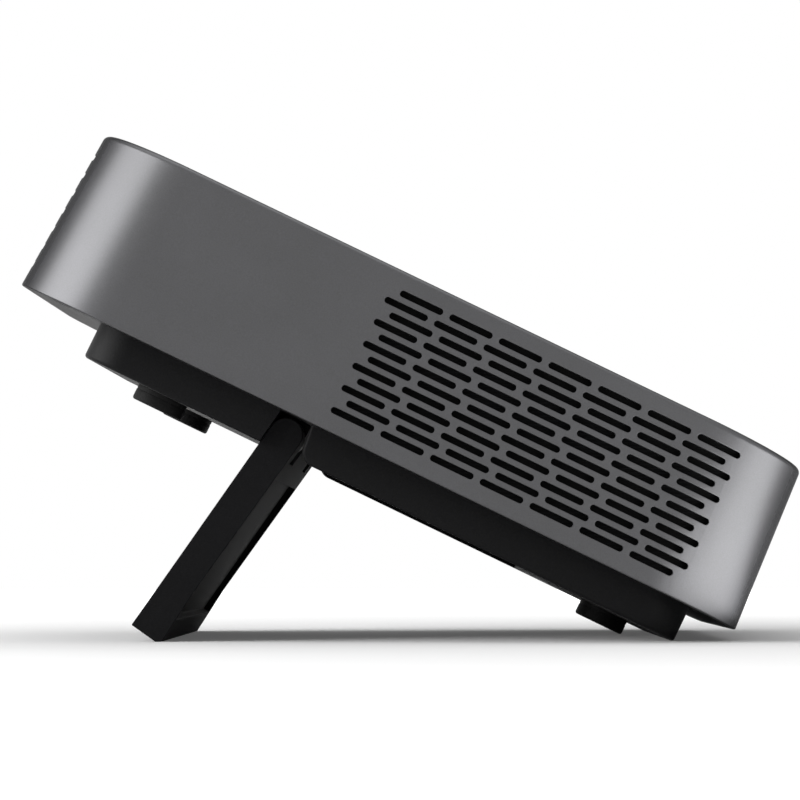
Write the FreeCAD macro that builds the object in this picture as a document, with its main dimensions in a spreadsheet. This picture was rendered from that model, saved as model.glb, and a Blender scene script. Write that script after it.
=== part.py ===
import FreeCAD, Part
import os
import re

import Sketcher
from FreeCAD import Placement, Rotation, Vector

# A portable projector with a tray-loading disc drive, on a fold-out stand.
#
# Every piece is drawn level: X runs from the lens end to the socket end, Y from
# the vented side to the disc side, and Z up from the rim of the metal shell.
# The whole set is then tipped by stand_tilt, so that the toe of the stand and
# the rear edge of the plinth share one floor, and is stood on its origin.

# Driving dimensions in millimetres and degrees.
SIZES = {
    # workings: how far a cut runs past a face, a pad is rooted in its floor, a cut goes
    # through a leaning wall, and a loose piece is kept from its neighbour
    "overrun": 1,
    "root": 0.5,
    "wall_cut": 8,
    "seat_gap": 0.1,
    # metal shell
    "shell_length": 220,
    "shell_width": 160,
    "shell_height": 48,
    "shell_draft": 2.9,
    "shell_corner": 30,
    "shell_wall": 2.0,
    "shell_top": 2.2,
    "top_round": 1.5,
    "rim_round": 0.5,
    # staggered vent slots of the near side
    "vent_columns": 7,
    "vent_pairs": 6,
    "vent_pitch": 14.8,
    "vent_row_pitch": 3.31,
    "vent_slot_length": 12.74,
    "vent_slot_width": 1.75,
    "vent_end_inset": 122.7,
    "vent_stagger": 3.0,
    "vent_drop": 5.8,
    # speaker slots of the lens end
    "grille_rows": 7,
    "grille_pitch": 5.66,
    "grille_drop": 7.2,
    "grille_slot_width": 1.75,
    "grille_inner": 25,
    "grille_side_inset": 23,
    # bottom case and its plinth
    "floor_thick": 2.0,
    "floor_gap": 0.15,
    "plinth_end_margin": 38.7,
    "plinth_side_margin": 32,
    "plinth_depth": 10.3,
    "plinth_middle": 5.3,
    "plinth_corner": 12,
    "plinth_round": 1.0,
    "plinth_skin": 1.8,
    "hollow_side_inset": 14,
    "hollow_wall": 3.35,
    "front_hollow_end": -40,
    "hollow_bay_gap": 5.9,
    "hollow_rear_wall": 4.95,
    "post_end_inset": 14,
    "post_side_inset": 16,
    "post_radius": 3.5,
    "screw_radius": 1.2,
    "screw_head_radius": 2.6,
    "screw_head_height": 1.2,
    "screw_recess": 0.96,
    "screw_length": 10,
    "screw_clearance": 0.05,
    # feet
    "foot_radius": 7.5,
    "foot_height": 4.4,
    "foot_round": 0.7,
    "foot_spigot_radius": 3.0,
    "foot_spigot_height": 1.2,
    "front_foot_inset": 48.4,
    "foot_side_inset": 18.4,
    "rear_foot_inset": 32,
    # tripod insert
    "insert_radius": 4.0,
    "insert_bore": 2.6,
    "insert_height": 8.0,
    "insert_wall": 2.2,
    "insert_end": 1,
    # fold-out stand
    "pivot_x": -24.9,
    "pivot_drop": 5.5,
    "arm_side_gap": 8,
    "arm_radius": 4.7,
    "arm_reach": 67,
    "arm_lean": 9.2,
    "arm_waist": 4.15,
    "arm_waist_reach": 50,
    "arm_toe": 3.37,
    "arm_heel": 4.8,
    "recess_depth": 1.7,
    "recess_rim": 1.1,
    "recess_start": 12,
    "recess_end": 58.8,
    "stop_gap": 0.1,
    "bay_side_gap": 1.3,
    "bay_finger_room": 8,
    "bay_cut_x": -19.6,
    "bay_cut_lean": 6.4,
    "bay_cut_round": 4.0,
    "lug_middle": 37,
    "lug_width": 14,
    "lug_radius": 4.3,
    "lug_root_gap": 1.7,
    "washer_thick": 0.5,
    "washer_radius": 4.0,
    "washer_play": 0.05,
    "pin_radius": 2.0,
    "pin_clearance": 0.05,
    "pin_cap": 2.5,
    "pin_short": 0.5,
    # disc drive
    "drive_middle": 12,
    "drive_width": 128,
    "drive_depth": 126,
    "drive_height": 12.7,
    "drive_floor": 3.2,
    "rib_thick": 3,
    "rib_inset": 3,
    "drive_sheet": 0.8,
    "drive_face_gap": 0.5,
    "bezel_thick": 3.6,
    "bezel_inset": 0.3,
    "bezel_gap": 0.2,
    "rail_thick": 1.5,
    "rail_height": 6,
    "rail_gap": 0.25,
    "rail_lift": 2.4,
    "rail_end_gap": 2,
    "tray_end_gap": 1.1,
    "tray_gap": 0.4,
    "tray_top_gap": 0.5,
    "tray_floor": 1.4,
    "tray_wall": 1.2,
    "well_radius": 60.3,
    "well_depth": 2.6,
    "well_front_gap": 1.6,
    "window_half": 16,
    "window_front": 14,
    "window_rear": 59,
    "frame_plate": 0.8,
    "frame_lift": 0.2,
    "frame_half": 29,
    "frame_gap": 0.3,
    "frame_front": 20,
    "frame_post": 2,
    "frame_slit_half": 4,
    "lug_thick": 1,
    "lug_rise": 2,
    "guide_lug_half": 1.9,
    "lead_lug_half": 2.4,
    "motor_radius": 10.5,
    "motor_height": 4.6,
    "shaft_radius": 1.0,
    "shaft_clearance": 0.05,
    "hub_radius": 7.4,
    "hub_height": 2.0,
    "hub_round": 0.8,
    "turntable_radius": 13,
    "turntable_thick": 0.8,
    "turntable_gap": 0.4,
    "guide_radius": 1.25,
    "guide_clearance": 0.05,
    "guide_reach": 17,
    "guide_height": 7.6,
    "guide_end": 2,
    "lead_end": 4,
    "lead_lap": 1.8,
    "lead_back_gap": 0.2,
    "sled_start": 22,
    "sled_tail": 4.6,
    "sled_nose": 10.4,
    "sled_half": 14,
    "sled_bottom": 5.8,
    "sled_thick": 4.0,
    "ear_half": 1.9,
    "ear_reach": 2.1,
    "ear_long": 8.6,
    "ear_short": 5,
    "pickup_radius": 2.6,
    "pickup_height": 1.0,
    "lead_radius": 1.3,
    "lead_reach": 22,
    "stepper_radius": 2.9,
    "stepper_length": 9,
    "stepper_gap": 0.6,
    "stepper_bore_depth": 2,
    "wing_reach": 2,
    "wing_start": 3,
    "wing_thick": 1.2,
    "eject_reach": 44,
    "eject_width": 9,
    "eject_height": 3.2,
    "eject_gap": 0.25,
    "eject_travel": 0.8,
    "eject_recess": 0.2,
    "led_radius": 0.8,
    "led_reach": 34,
    # lens
    "lens_height": 26.5,
    "bezel_radius": 17.5,
    "bezel_hole": 14,
    "bezel_flare": 2,
    "bezel_sink": 0.2,
    "bezel_depth": 4.5,
    "bezel_flange": 19,
    "bezel_play": 0.3,
    "window_radius": 15.8,
    "window_thick": 1.5,
    "sleeve_inset": 11,
    "sleeve_wall": 1.9,
    "collar_wall": 2,
    "lens_bore": 15,
    "lens_clearance": 0.05,
    "barrel_length": 22,
    "barrel_wall": 1.4,
    "barrel_front_gap": 4.6,
    "focus_ring_radius": 22.4,
    "focus_ring_width": 6.5,
    "focus_ring_inset": 20,
    "focus_ring_gap": 0.05,
    "focus_rib_count": 60,
    "focus_rib_depth": 0.4,
    "focus_rib_lift": 0.35,
    "wheel_slot_gap": 0.8,
    "retainer_thick": 1.2,
    "front_glass": 5.5,
    "rear_glass": 3.6,
    "glass_gap": 0.05,
    "front_bulge": 2.5,
    "rear_bulge": 1.5,
    "front_seat": 4,
    "rear_seat": 15,
    # light engine
    "engine_inset": 38,
    "engine_length": 56,
    "engine_half": 27,
    "engine_top": 39,
    "engine_wall": 1.8,
    "engine_lid": 1.2,
    "led_block": 9,
    "led_thick": 6,
    "led_tall": 14,
    "prism_setback": 26,
    "prism_side": 12,
    "imager_setback": 6,
    "imager_thick": 1.2,
    "imager_half": 18,
    "imager_hole": 6,
    # chassis
    "chassis_level": 17,
    "chassis_thick": 1.0,
    "notch_depth": 2,
    "chassis_corner": 13,
    "notch_lap": 4,
    "notch_half": 24,
    "chassis_rear": 88,
    "chassis_near_gap": 5,
    "chassis_far_gap": 12,
    "leg_radius": 3,
    "leg_drive_gap": 6,
    "leg_middle": 12,
    "leg_side_gap": 7.1,
    "leg_far_gap": 22,
    # boards and sockets
    "standoff_height": 3,
    "standoff_radius": 2.2,
    "board_hole": 1.6,
    "board_screw": 1.5,
    "board_screw_head": 2.4,
    "board_screw_rise": 1.2,
    "hole_inset": 5,
    "hole_rear_inset": 22,
    "board_thick": 1.6,
    "board_front": 18,
    "board_rear_gap": 7,
    "board_near": -8,
    "board_far_gap": 22,
    "power_front": -62,
    "power_rear": 10,
    "power_near": 32,
    "power_far_gap": 14,
    "can_radius": 4,
    "can_along": 60,
    "can_across": 9,
    "can_pitch": 10,
    "can_tall": 12,
    "panel_near": -8,
    "panel_far": 50,
    "panel_bottom": 19.5,
    "panel_top": 35.5,
    "panel_gap": 0.2,
    "panel_flange": 1.6,
    "panel_flange_thick": 1.2,
    "panel_flange_gap": 0.05,
    "panel_sink": 0.2,
    "socket_inset": 0.4,
    "socket_play": 0.3,
    "hdmi_y": 27,
    "hdmi_width": 15,
    "hdmi_height": 6,
    "hdmi_depth": 12,
    "usb_y": 11,
    "usb_width": 13.2,
    "usb_height": 6.2,
    "usb_depth": 14,
    "socket_sheet": 0.4,
    "socket_back": 2,
    "tongue_setback": 3,
    "tongue_inset": 2,
    "tongue_thick": 0.9,
    "hdmi_tongue_drop": 1.6,
    "usb_tongue_drop": 1.8,
    "jack_y": -1.5,
    "jack_side": 7,
    "jack_bore": 1.8,
    "jack_depth": 12,
    "jack_back": 1.5,
    "inlet_y": 43,
    "inlet_width": 9,
    "inlet_height": 10,
    "inlet_bore": 2.9,
    "inlet_depth": 9.5,
    "inlet_pin": 1.0,
    "ir_radius": 2.5,
    "ir_drop": 4.0,
    "ir_gap": 0.05,
    "ir_lap": 0.8,
    "ir_y": 19.4,
    # cooling
    "blower_front": 30,
    "blower_rear": 80,
    "blower_near": -60.5,
    "blower_far": -10.5,
    "blower_height": 15,
    "blower_wall": 1.2,
    "blower_lid": 1.2,
    "blower_eye": 15,
    "rotor_radius": 20,
    "rotor_gap": 0.6,
    "rotor_hub": 9,
    "rotor_height": 10.4,
    "rotor_disc": 0.8,
    "rotor_hub_tall": 7.28,
    "rotor_post": 1.5,
    "rotor_post_tall": 4,
    "rotor_bore_depth": 3.8,
    "scroll_gap": 3.4,
    "blade_count": 24,
    "blade_length": 5,
    "blade_thick": 0.7,
    "sink_front": 24,
    "sink_rear_gap": 27,
    "sink_blower_gap": 0.7,
    "sink_base": 3,
    "sink_height": 18,
    "fin_count": 25,
    "fin_thick": 0.5,
    "pipe_radius": 2.5,
    "pipe_clearance": 0.02,
    "pipe_height": 28,
    "pipe_x": -42,
    "pipe_bend": 12,
    # speakers
    "speaker_front_gap": 5.4,
    "speaker_length": 18.6,
    "speaker_near": 26,
    "speaker_far_gap": 26,
    "speaker_top": 41,
    "speaker_wall": 1.6,
    "cone_side_gap": 2.5,
    "cone_depth": 4,
    "cone_flange": 0.6,
    "cone_rim": 0.8,
    "cone_throat": 4.0,
    "cone_back": 0.6,
    "magnet_depth": 5,
    # top keys
    "key_count": 5,
    "key_pitch": 15,
    "key_x": -40,
    "key_radius": 4.8,
    "key_gap": 0.2,
    "key_recess": 0.1,
    "key_flange": 1.2,
    "key_flange_thick": 0.9,
    "key_seat_gap": 0.3,
    "key_travel": 0.6,
    "key_half": 8,
    "key_frame_wall": 1.4,
    "key_frame_floor": 1.0,
    "key_frame_depth": 4.8,
    "key_board_thick": 1.2,
    "switch_radius": 2.4,
    "switch_gap": 0.05,
    "key_round": 0.3,
}

# Dimensions worked out from the driving ones, in the order they need each other.
PLACES = {
    "front_x": "-shell_length / 2",
    "rear_x": "shell_length / 2",
    "near_y": "-shell_width / 2",
    "far_y": "shell_width / 2",
    "slope": "tan(shell_draft)",
    "ceiling": "shell_height - shell_top",
    "inner_corner": "shell_corner - shell_wall",
    "plinth_length": "shell_length - plinth_end_margin",
    "plinth_width": "shell_width - plinth_side_margin",
    "vent_start": "rear_x - vent_end_inset",
    "grille_outer": "far_y - grille_side_inset",
    "floor_top": "floor_thick",
    "plinth_front": "plinth_middle - plinth_length / 2",
    "plinth_rear": "plinth_middle + plinth_length / 2",
    "plinth_side": "plinth_width / 2",
    "hollow_bottom": "plinth_skin - plinth_depth",
    "hollow_half_width": "plinth_side - hollow_side_inset",
    "front_hollow_start": "plinth_front + hollow_wall",
    "rear_hollow_end": "plinth_rear - hollow_rear_wall",
    "post_reach_x": "rear_x - post_end_inset",
    "post_reach_y": "far_y - post_side_inset",
    "front_foot_x": "front_x + front_foot_inset",
    "front_foot_y": "plinth_side - foot_side_inset",
    "rear_foot_x": "rear_x - rear_foot_inset",
    "insert_x": "front_foot_x",
    "post_hole": "screw_radius + screw_clearance",
    "foot_hole": "foot_spigot_radius + screw_clearance",
    "arm_width": "plinth_width - arm_side_gap",
    # stand: the face that stops it, and the tilt it gives
    "stop_offset": "(arm_radius + stop_gap) / cos(arm_lean)",
    "stop_top_x": "pivot_x - stop_offset + pivot_drop * tan(arm_lean)",
    "stop_low_x": "pivot_x - stop_offset + (pivot_drop - plinth_depth - overrun) * tan(arm_lean)",
    "bay_end": "pivot_x + arm_reach + bay_finger_room",
    "rear_hollow_start": "bay_end + hollow_bay_gap",
    "bay_half": "arm_width / 2 + bay_side_gap",
    "bay_cut_low_x": "bay_cut_x + plinth_depth * tan(bay_cut_lean)",
    "toe_x": "pivot_x - arm_reach * sin(arm_lean) + arm_toe * cos(arm_lean)",
    "toe_z": "-pivot_drop - arm_reach * cos(arm_lean) - arm_toe * sin(arm_lean)",
    "heel_run": "plinth_rear - plinth_round - toe_x",
    "heel_rise": "plinth_round - plinth_depth - toe_z",
    "heel_reach": "sqrt(heel_run^2 + heel_rise^2)",
    "stand_tilt": "(atan(heel_rise / heel_run) - asin(plinth_round / heel_reach)) / 1 deg",
    "toe_flat_x": "(arm_heel - arm_toe) * tan(stand_tilt + arm_lean)",
    "lug_notch": "lug_width / 2 + washer_thick + washer_play",
    "lug_bore": "pin_radius + pin_clearance",
    # disc drive
    "drive_left": "drive_middle - drive_width / 2",
    "drive_right": "drive_middle + drive_width / 2",
    "drive_top": "drive_floor + drive_height",
    "bezel_back": "far_y - bezel_thick - bezel_inset - drive_top * slope",
    "case_front": "bezel_back - bezel_gap",
    "case_back": "case_front - drive_depth",
    "rail_outer": "drive_width / 2 - drive_sheet - rail_gap",
    "rail_inner": "rail_outer - rail_thick",
    "rail_low": "drive_floor + rail_lift",
    "rail_back": "case_back + drive_sheet + rail_end_gap",
    "tray_half": "rail_inner - rail_gap",
    "tray_back": "case_back + drive_sheet + tray_end_gap",
    "tray_low": "drive_floor + drive_sheet + tray_gap",
    "tray_high": "drive_top - drive_sheet - tray_top_gap",
    "well_floor": "tray_high - well_depth",
    "tray_ceiling": "well_floor - tray_floor",
    "disc_y": "bezel_back - well_front_gap - well_radius",
    "plate_low": "tray_low + frame_lift",
    "plate_high": "plate_low + frame_plate",
    "frame_back": "tray_back + tray_wall + frame_gap",
    "frame_far": "disc_y + frame_front",
    "motor_top": "plate_high + motor_height",
    "turntable_low": "motor_top + turntable_gap",
    "turntable_top": "turntable_low + turntable_thick",
    "sled_y": "disc_y - sled_start",
    "sled_top": "sled_bottom + sled_thick",
    "guide_far": "disc_y - guide_end",
    "lead_far": "disc_y - lead_end",
    "lug_high": "guide_height + lug_rise",
    # lens axis
    "sleeve_front": "front_x + sleeve_inset",
    "focus_ring_x": "front_x + focus_ring_inset",
    "wall_lens_x": "front_x + lens_height * slope",
    "sleeve_radius": "lens_bore + sleeve_wall",
    "barrel_front": "sleeve_front + barrel_front_gap",
    "ring_back": "focus_ring_x + focus_ring_width",
    "wheel_slot_half": "sqrt(focus_ring_radius^2 - (ceiling - lens_height)^2) + wheel_slot_gap",
    "engine_front": "front_x + engine_inset",
    "engine_rear": "engine_front + engine_length",
    "prism_x": "engine_front + prism_setback",
    "imager_x": "engine_front + imager_setback",
    # chassis and what stands on it
    "chassis_front": "engine_front - notch_depth",
    "chassis_near": "near_y + chassis_near_gap",
    "chassis_far": "far_y - chassis_far_gap",
    "leg_front": "drive_left - leg_drive_gap - leg_radius",
    "leg_rear": "drive_right + leg_drive_gap",
    "board_rear": "rear_x - board_rear_gap",
    "board_far": "far_y - board_far_gap",
    "power_far": "far_y - power_far_gap",
    "sink_rear": "rear_x - sink_rear_gap",
    "sink_near": "chassis_near",
    "sink_far": "blower_near - sink_blower_gap",
    "pipe_y": "(sink_near + sink_far) / 2",
    "speaker_front": "front_x + speaker_front_gap",
    "speaker_rear": "speaker_front + speaker_length",
    "speaker_far": "far_y - speaker_far_gap",
    "cone_radius": "(speaker_far - speaker_near) / 2 - cone_side_gap",
    "magnet_radius": "0.6 * cone_radius",
    "leg_near": "case_back - leg_side_gap",
    "leg_far": "far_y - leg_far_gap",
    "deck": "chassis_level + chassis_thick",
    "board_low": "deck + standoff_height",
    "board_top": "board_low + board_thick",
    "blower_top": "deck + blower_height",
    "blower_mid_x": "(blower_front + blower_rear) / 2",
    "blower_mid_y": "(blower_near + blower_far) / 2",
    "sink_top": "deck + sink_height",
    "fin_pitch": "(sink_rear - sink_front - fin_thick) / (fin_count - 1)",
    # keys
    "key_frame_low": "ceiling - key_frame_depth",
    "key_board_low": "key_frame_low + key_frame_floor",
    "key_board_top": "key_board_low + key_board_thick",
    "key_low": "ceiling - key_seat_gap - key_flange_thick",
    "key_span": "key_pitch * (key_count - 1) / 2 + key_half",
    "switch_top": "key_low - key_travel - switch_gap",
}

DOC = FreeCAD.newDocument("projector")
SUBPARTS = []


def fill_sheets():
    """Write the driving dimensions and the worked-out ones, each cell with its alias."""
    sizes = DOC.addObject("Spreadsheet::Sheet", "Sizes")
    for row, (name, value) in enumerate(SIZES.items(), start=1):
        sizes.set(f"A{row}", name)
        sizes.set(f"B{row}", str(value))
        sizes.setAlias(f"B{row}", name)
    places = DOC.addObject("Spreadsheet::Sheet", "Places")
    for row, (name, formula) in enumerate(PLACES.items(), start=1):
        places.set(f"A{row}", name)
        places.setAlias(f"B{row}", name)
    DOC.recompute()
    for row, formula in enumerate(PLACES.values(), start=1):
        places.set(f"B{row}", "=" + linked(formula))
    DOC.addObject("Spreadsheet::Sheet", "Workings")
    DOC.recompute()


def linked(formula):
    """Return a formula with each named dimension written as a cell of its sheet."""

    def cell(match):
        word = match.group()
        if word in SIZES:
            return "Sizes." + word
        if word in PLACES:
            return "Places." + word
        return word

    return re.sub(r"[a-z_]+", cell, str(formula))


def number(formula):
    """Return the value of a formula of named dimensions, worked out by the document."""
    workings = DOC.getObject("Workings")
    workings.set("A1", "=" + linked(formula))
    workings.recompute()
    value = workings.get("A1")
    return float(getattr(value, "Value", value))


def bind(item, **formulas):
    """Bind properties of an object to formulas of named dimensions."""
    for name, formula in formulas.items():
        item.setExpression(name, linked(formula))


def keep(item, label, place=None):
    """Name a finished sub-part and note where its own frame lies in the level frame."""
    item.Label = label
    SUBPARTS.append((item, place or Placement()))
    return item


def at(along, across, up, turn=None):
    """Return the placement of a frame whose origin is at three formulas."""
    return Placement(Vector(number(along), number(across), number(up)), turn or Rotation())


# ---------------------------------------------------------------- Part primitives

def block(name, along, across, up):
    """Return a box between the two formulas given for each of X, Y and Z."""
    box = DOC.addObject("Part::Box", name)
    for size, axis, (low, high) in zip(("Length", "Width", "Height"), "xyz", (along, across, up)):
        box.setExpression(size, linked(f"({high}) - ({low})"))
        box.setExpression(f"Placement.Base.{axis}", linked(low))
    return box


TURNS = {
    "x": Rotation(Vector(0, 1, 0), 90),
    "y": Rotation(Vector(1, 0, 0), -90),
    "z": Rotation(),
}


def rod(name, radius, start, length, axis="z"):
    """Return a cylinder that runs from start along an axis."""
    cylinder = DOC.addObject("Part::Cylinder", name)
    cylinder.Placement = Placement(Vector(), TURNS[axis])
    bind(cylinder, Radius=radius, Height=length)
    for side, formula in zip("xyz", start):
        cylinder.setExpression(f"Placement.Base.{side}", linked(formula))
    return cylinder


def fused(name, *pieces):
    """Return one solid made of pieces that touch or overlap."""
    union = DOC.addObject("Part::MultiFuse", name)
    union.Shapes = list(pieces)
    union.Refine = True
    return union


def group(name, *pieces):
    """Return separate solids held together as one sub-part."""
    bundle = DOC.addObject("Part::Compound", name)
    bundle.Links = list(pieces)
    return bundle


def without(name, base, *tools):
    """Return base with the tools cut out of it."""
    difference = DOC.addObject("Part::Cut", name)
    difference.Base = base
    difference.Tool = tools[0] if len(tools) == 1 else fused(name + "_tools", *tools)
    return difference


# ------------------------------------------------------------- PartDesign helpers

# A quarter turn in radians, and the start and end of the two half turns of a slot.
QUARTER = 1.5707963267948966
HALF_TURNS = ((QUARTER, 3 * QUARTER), (3 * QUARTER, 5 * QUARTER))

# For each axis: the origin plane across it, and the way that plane's normal points.
PLANES = {"x": ("YZ_Plane", 1), "y": ("XZ_Plane", -1), "z": ("XY_Plane", 1)}


def new_body(name):
    """Return an empty body."""
    return DOC.addObject("PartDesign::Body", name)


def origin_feature(body, role):
    """Return an axis or a plane of a body's own origin."""
    return next(item for item in body.Origin.OriginFeatures if item.Role == role)


def new_sketch(body, name, role, offset="0"):
    """Return a sketch on an origin plane of the body, moved along the plane's normal."""
    sketch = body.newObject("Sketcher::SketchObject", name + "_sketch")
    sketch.AttachmentSupport = [(origin_feature(body, role), "")]
    sketch.MapMode = "FlatFace"
    sketch.setExpression("AttachmentOffset.Base.z", linked(offset))
    return sketch


def hold_point(sketch, geometry, end, place):
    """Tie a point of a sketch to two formulas measured from the sketch's origin."""
    for kind, axis, formula in zip(("DistanceX", "DistanceY"), (-2, -1), place):
        value = number(formula)
        if formula == "0":
            sketch.addConstraint(Sketcher.Constraint("PointOnObject", geometry, end, axis))
            continue
        index = sketch.addConstraint(Sketcher.Constraint(kind, -1, 1, geometry, end, value))
        sketch.setExpression(f"Constraints[{index}]", linked(formula))


def polygon(*corners):
    """Return a drawer of a closed outline of straight sides."""

    def draw(sketch):
        points = [Vector(number(across), number(up), 0) for across, up in corners]
        count = len(points)
        first = sketch.GeometryCount
        for index in range(count):
            sketch.addGeometry(Part.LineSegment(points[index], points[(index + 1) % count]))
        for index, corner in enumerate(corners):
            before = first + (index - 1) % count
            sketch.addConstraint(Sketcher.Constraint("Coincident", before, 2, first + index, 1))
            hold_point(sketch, first + index, 1, corner)

    return draw


def rectangle(left, right, low, high):
    """Return a drawer of an upright rectangle."""
    return polygon((left, low), (right, low), (right, high), (left, high))


def round_rectangle(left, right, low, high, radius):
    """Return a drawer of an upright rectangle with four round corners."""
    inner_left, inner_right = f"({left}) + ({radius})", f"({right}) - ({radius})"
    inner_low, inner_high = f"({low}) + ({radius})", f"({high}) - ({radius})"
    centres = ((inner_right, inner_low), (inner_right, inner_high), (inner_left, inner_high),
               (inner_left, inner_low))

    def draw(sketch):
        size = number(radius)
        points = [Vector(number(across), number(up), 0) for across, up in centres]
        ways = (Vector(0, -1, 0), Vector(1, 0, 0), Vector(0, 1, 0), Vector(-1, 0, 0))
        chain = []
        for index, point in enumerate(points):
            before = points[index - 1]
            side = Part.LineSegment(before + ways[index] * size, point + ways[index] * size)
            chain.append(sketch.addGeometry(side))
            ring = Part.Circle(point, Vector(0, 0, 1), size)
            start = (index - 1) * QUARTER
            chain.append(sketch.addGeometry(Part.ArcOfCircle(ring, start, start + QUARTER)))
        for index, geometry in enumerate(chain):
            follower = chain[(index + 1) % len(chain)]
            sketch.addConstraint(Sketcher.Constraint("Tangent", geometry, 2, follower, 1))
        arcs = chain[1::2]
        for arc, centre in zip(arcs, centres):
            hold_point(sketch, arc, 3, centre)
        for arc in arcs[1:]:
            sketch.addConstraint(Sketcher.Constraint("Equal", arcs[0], arc))
        index = sketch.addConstraint(Sketcher.Constraint("Radius", arcs[0], size))
        sketch.setExpression(f"Constraints[{index}]", linked(radius))

    return draw


def circle(across, up, radius):
    """Return a drawer of a circle."""

    def draw(sketch):
        middle = Vector(number(across), number(up), 0)
        ring = sketch.addGeometry(Part.Circle(middle, Vector(0, 0, 1), number(radius)))
        hold_point(sketch, ring, 3, (across, up))
        index = sketch.addConstraint(Sketcher.Constraint("Radius", ring, number(radius)))
        sketch.setExpression(f"Constraints[{index}]", linked(radius))

    return draw


def slot(left, right, middle, width):
    """Return a drawer of a level slot with round ends."""

    def draw(sketch):
        radius = number(f"({width}) / 2")
        near_x = number(left) + radius
        far_x = number(right) - radius
        level = number(middle)
        up = Vector(0, 0, 1)
        first = sketch.addGeometry(
            Part.ArcOfCircle(Part.Circle(Vector(near_x, level, 0), up, radius), *HALF_TURNS[0])
        )
        second = sketch.addGeometry(
            Part.ArcOfCircle(Part.Circle(Vector(far_x, level, 0), up, radius), *HALF_TURNS[1])
        )
        low = sketch.addGeometry(
            Part.LineSegment(Vector(near_x, level - radius, 0), Vector(far_x, level - radius, 0))
        )
        high = sketch.addGeometry(
            Part.LineSegment(Vector(far_x, level + radius, 0), Vector(near_x, level + radius, 0))
        )
        for one, one_end, two, two_end in (
            (first, 2, low, 1), (low, 2, second, 1), (second, 2, high, 1), (high, 2, first, 1),
        ):
            sketch.addConstraint(Sketcher.Constraint("Tangent", one, one_end, two, two_end))
        hold_point(sketch, first, 3, (f"({left}) + ({width}) / 2", middle))
        hold_point(sketch, second, 3, (f"({right}) - ({width}) / 2", middle))
        index = sketch.addConstraint(Sketcher.Constraint("Radius", first, radius))
        sketch.setExpression(f"Constraints[{index}]", linked(f"({width}) / 2"))

    return draw


def prism(body, name, axis, low, high, *outlines, cut=False, taper=None):
    """Add or cut a prism between two places on an axis.

    The outlines are drawn across the axis: (y, z) for x, (x, z) for y, (x, y) for z.
    """
    role, way = PLANES[axis]
    sketch = new_sketch(body, name, role, low if way > 0 else f"-({high})")
    for draw in outlines:
        draw(sketch)
    feature = body.newObject("PartDesign::Pocket" if cut else "PartDesign::Pad", name)
    feature.Profile = sketch
    bind(feature, Length=f"({high}) - ({low})")
    feature.Reversed = cut
    if taper:
        bind(feature, TaperAngle=taper)
    return feature


def turned(body, name, axis, outline, cut=False):
    """Add or cut a solid of revolution about the body's own X or Z axis, drawn in (x, z)."""
    sketch = new_sketch(body, name, "XZ_Plane")
    outline(sketch)
    feature = body.newObject("PartDesign::Groove" if cut else "PartDesign::Revolution", name)
    feature.Profile = sketch
    feature.ReferenceAxis = (sketch, ["H_Axis" if axis == "x" else "V_Axis"])
    feature.Angle = 360
    return feature


def rounded(body, name, radius, wanted, kind="Fillet"):
    """Round or bevel those edges of a body that wanted(edge) picks."""
    DOC.recompute()
    base = body.Tip
    edges = [f"Edge{index}" for index, edge in enumerate(base.Shape.Edges, start=1) if wanted(edge)]
    feature = body.newObject("PartDesign::" + kind, name)
    feature.Base = (base, edges)
    bind(feature, **{"Radius" if kind == "Fillet" else "Size": radius})
    return feature


def rows(body, name, feature, axis, pitch, count, back=False):
    """Repeat a feature along an origin axis."""
    pattern = body.newObject("PartDesign::LinearPattern", name)
    pattern.Originals = [feature]
    pattern.Direction = (origin_feature(body, axis), [""])
    pattern.Reversed = back
    bind(pattern, Length=f"({pitch}) * (({count}) - 1)", Occurrences=count)
    body.Tip = pattern
    return pattern


def grid(body, name, feature, steps):
    """Repeat a feature along several origin axes, each step (axis, pitch, count, back)."""
    pattern = body.newObject("PartDesign::MultiTransform", name)
    pattern.Originals = [feature]
    lines = []
    for axis, pitch, count, back in steps:
        line = body.newObject("PartDesign::LinearPattern", f"{name}_{axis[0].lower()}")
        line.Direction = (origin_feature(body, axis), [""])
        line.Reversed = back
        bind(line, Length=f"({pitch}) * (({count}) - 1)", Occurrences=count)
        lines.append(line)
    pattern.Transformations = lines
    body.Tip = pattern
    return pattern


def ring_of(body, name, feature, count):
    """Repeat a feature around the body's X axis or Z axis."""
    pattern = body.newObject("PartDesign::PolarPattern", name)
    pattern.Originals = [feature]
    pattern.Angle = 360
    bind(pattern, Occurrences=count)
    body.Tip = pattern
    return pattern


def span(edge, axis):
    """Return the length of an edge's bounding box along an axis."""
    box = edge.BoundBox
    return {"x": box.XLength, "y": box.YLength, "z": box.ZLength}[axis]


def level_at(height):
    """Return a test for edges that lie flat at a height."""
    target = number(height)

    def wanted(edge):
        box = edge.BoundBox
        return abs(box.ZMin - target) < 0.01 and abs(box.ZMax - target) < 0.01

    return wanted


# ------------------------------------------------------------------ outer casings

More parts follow.
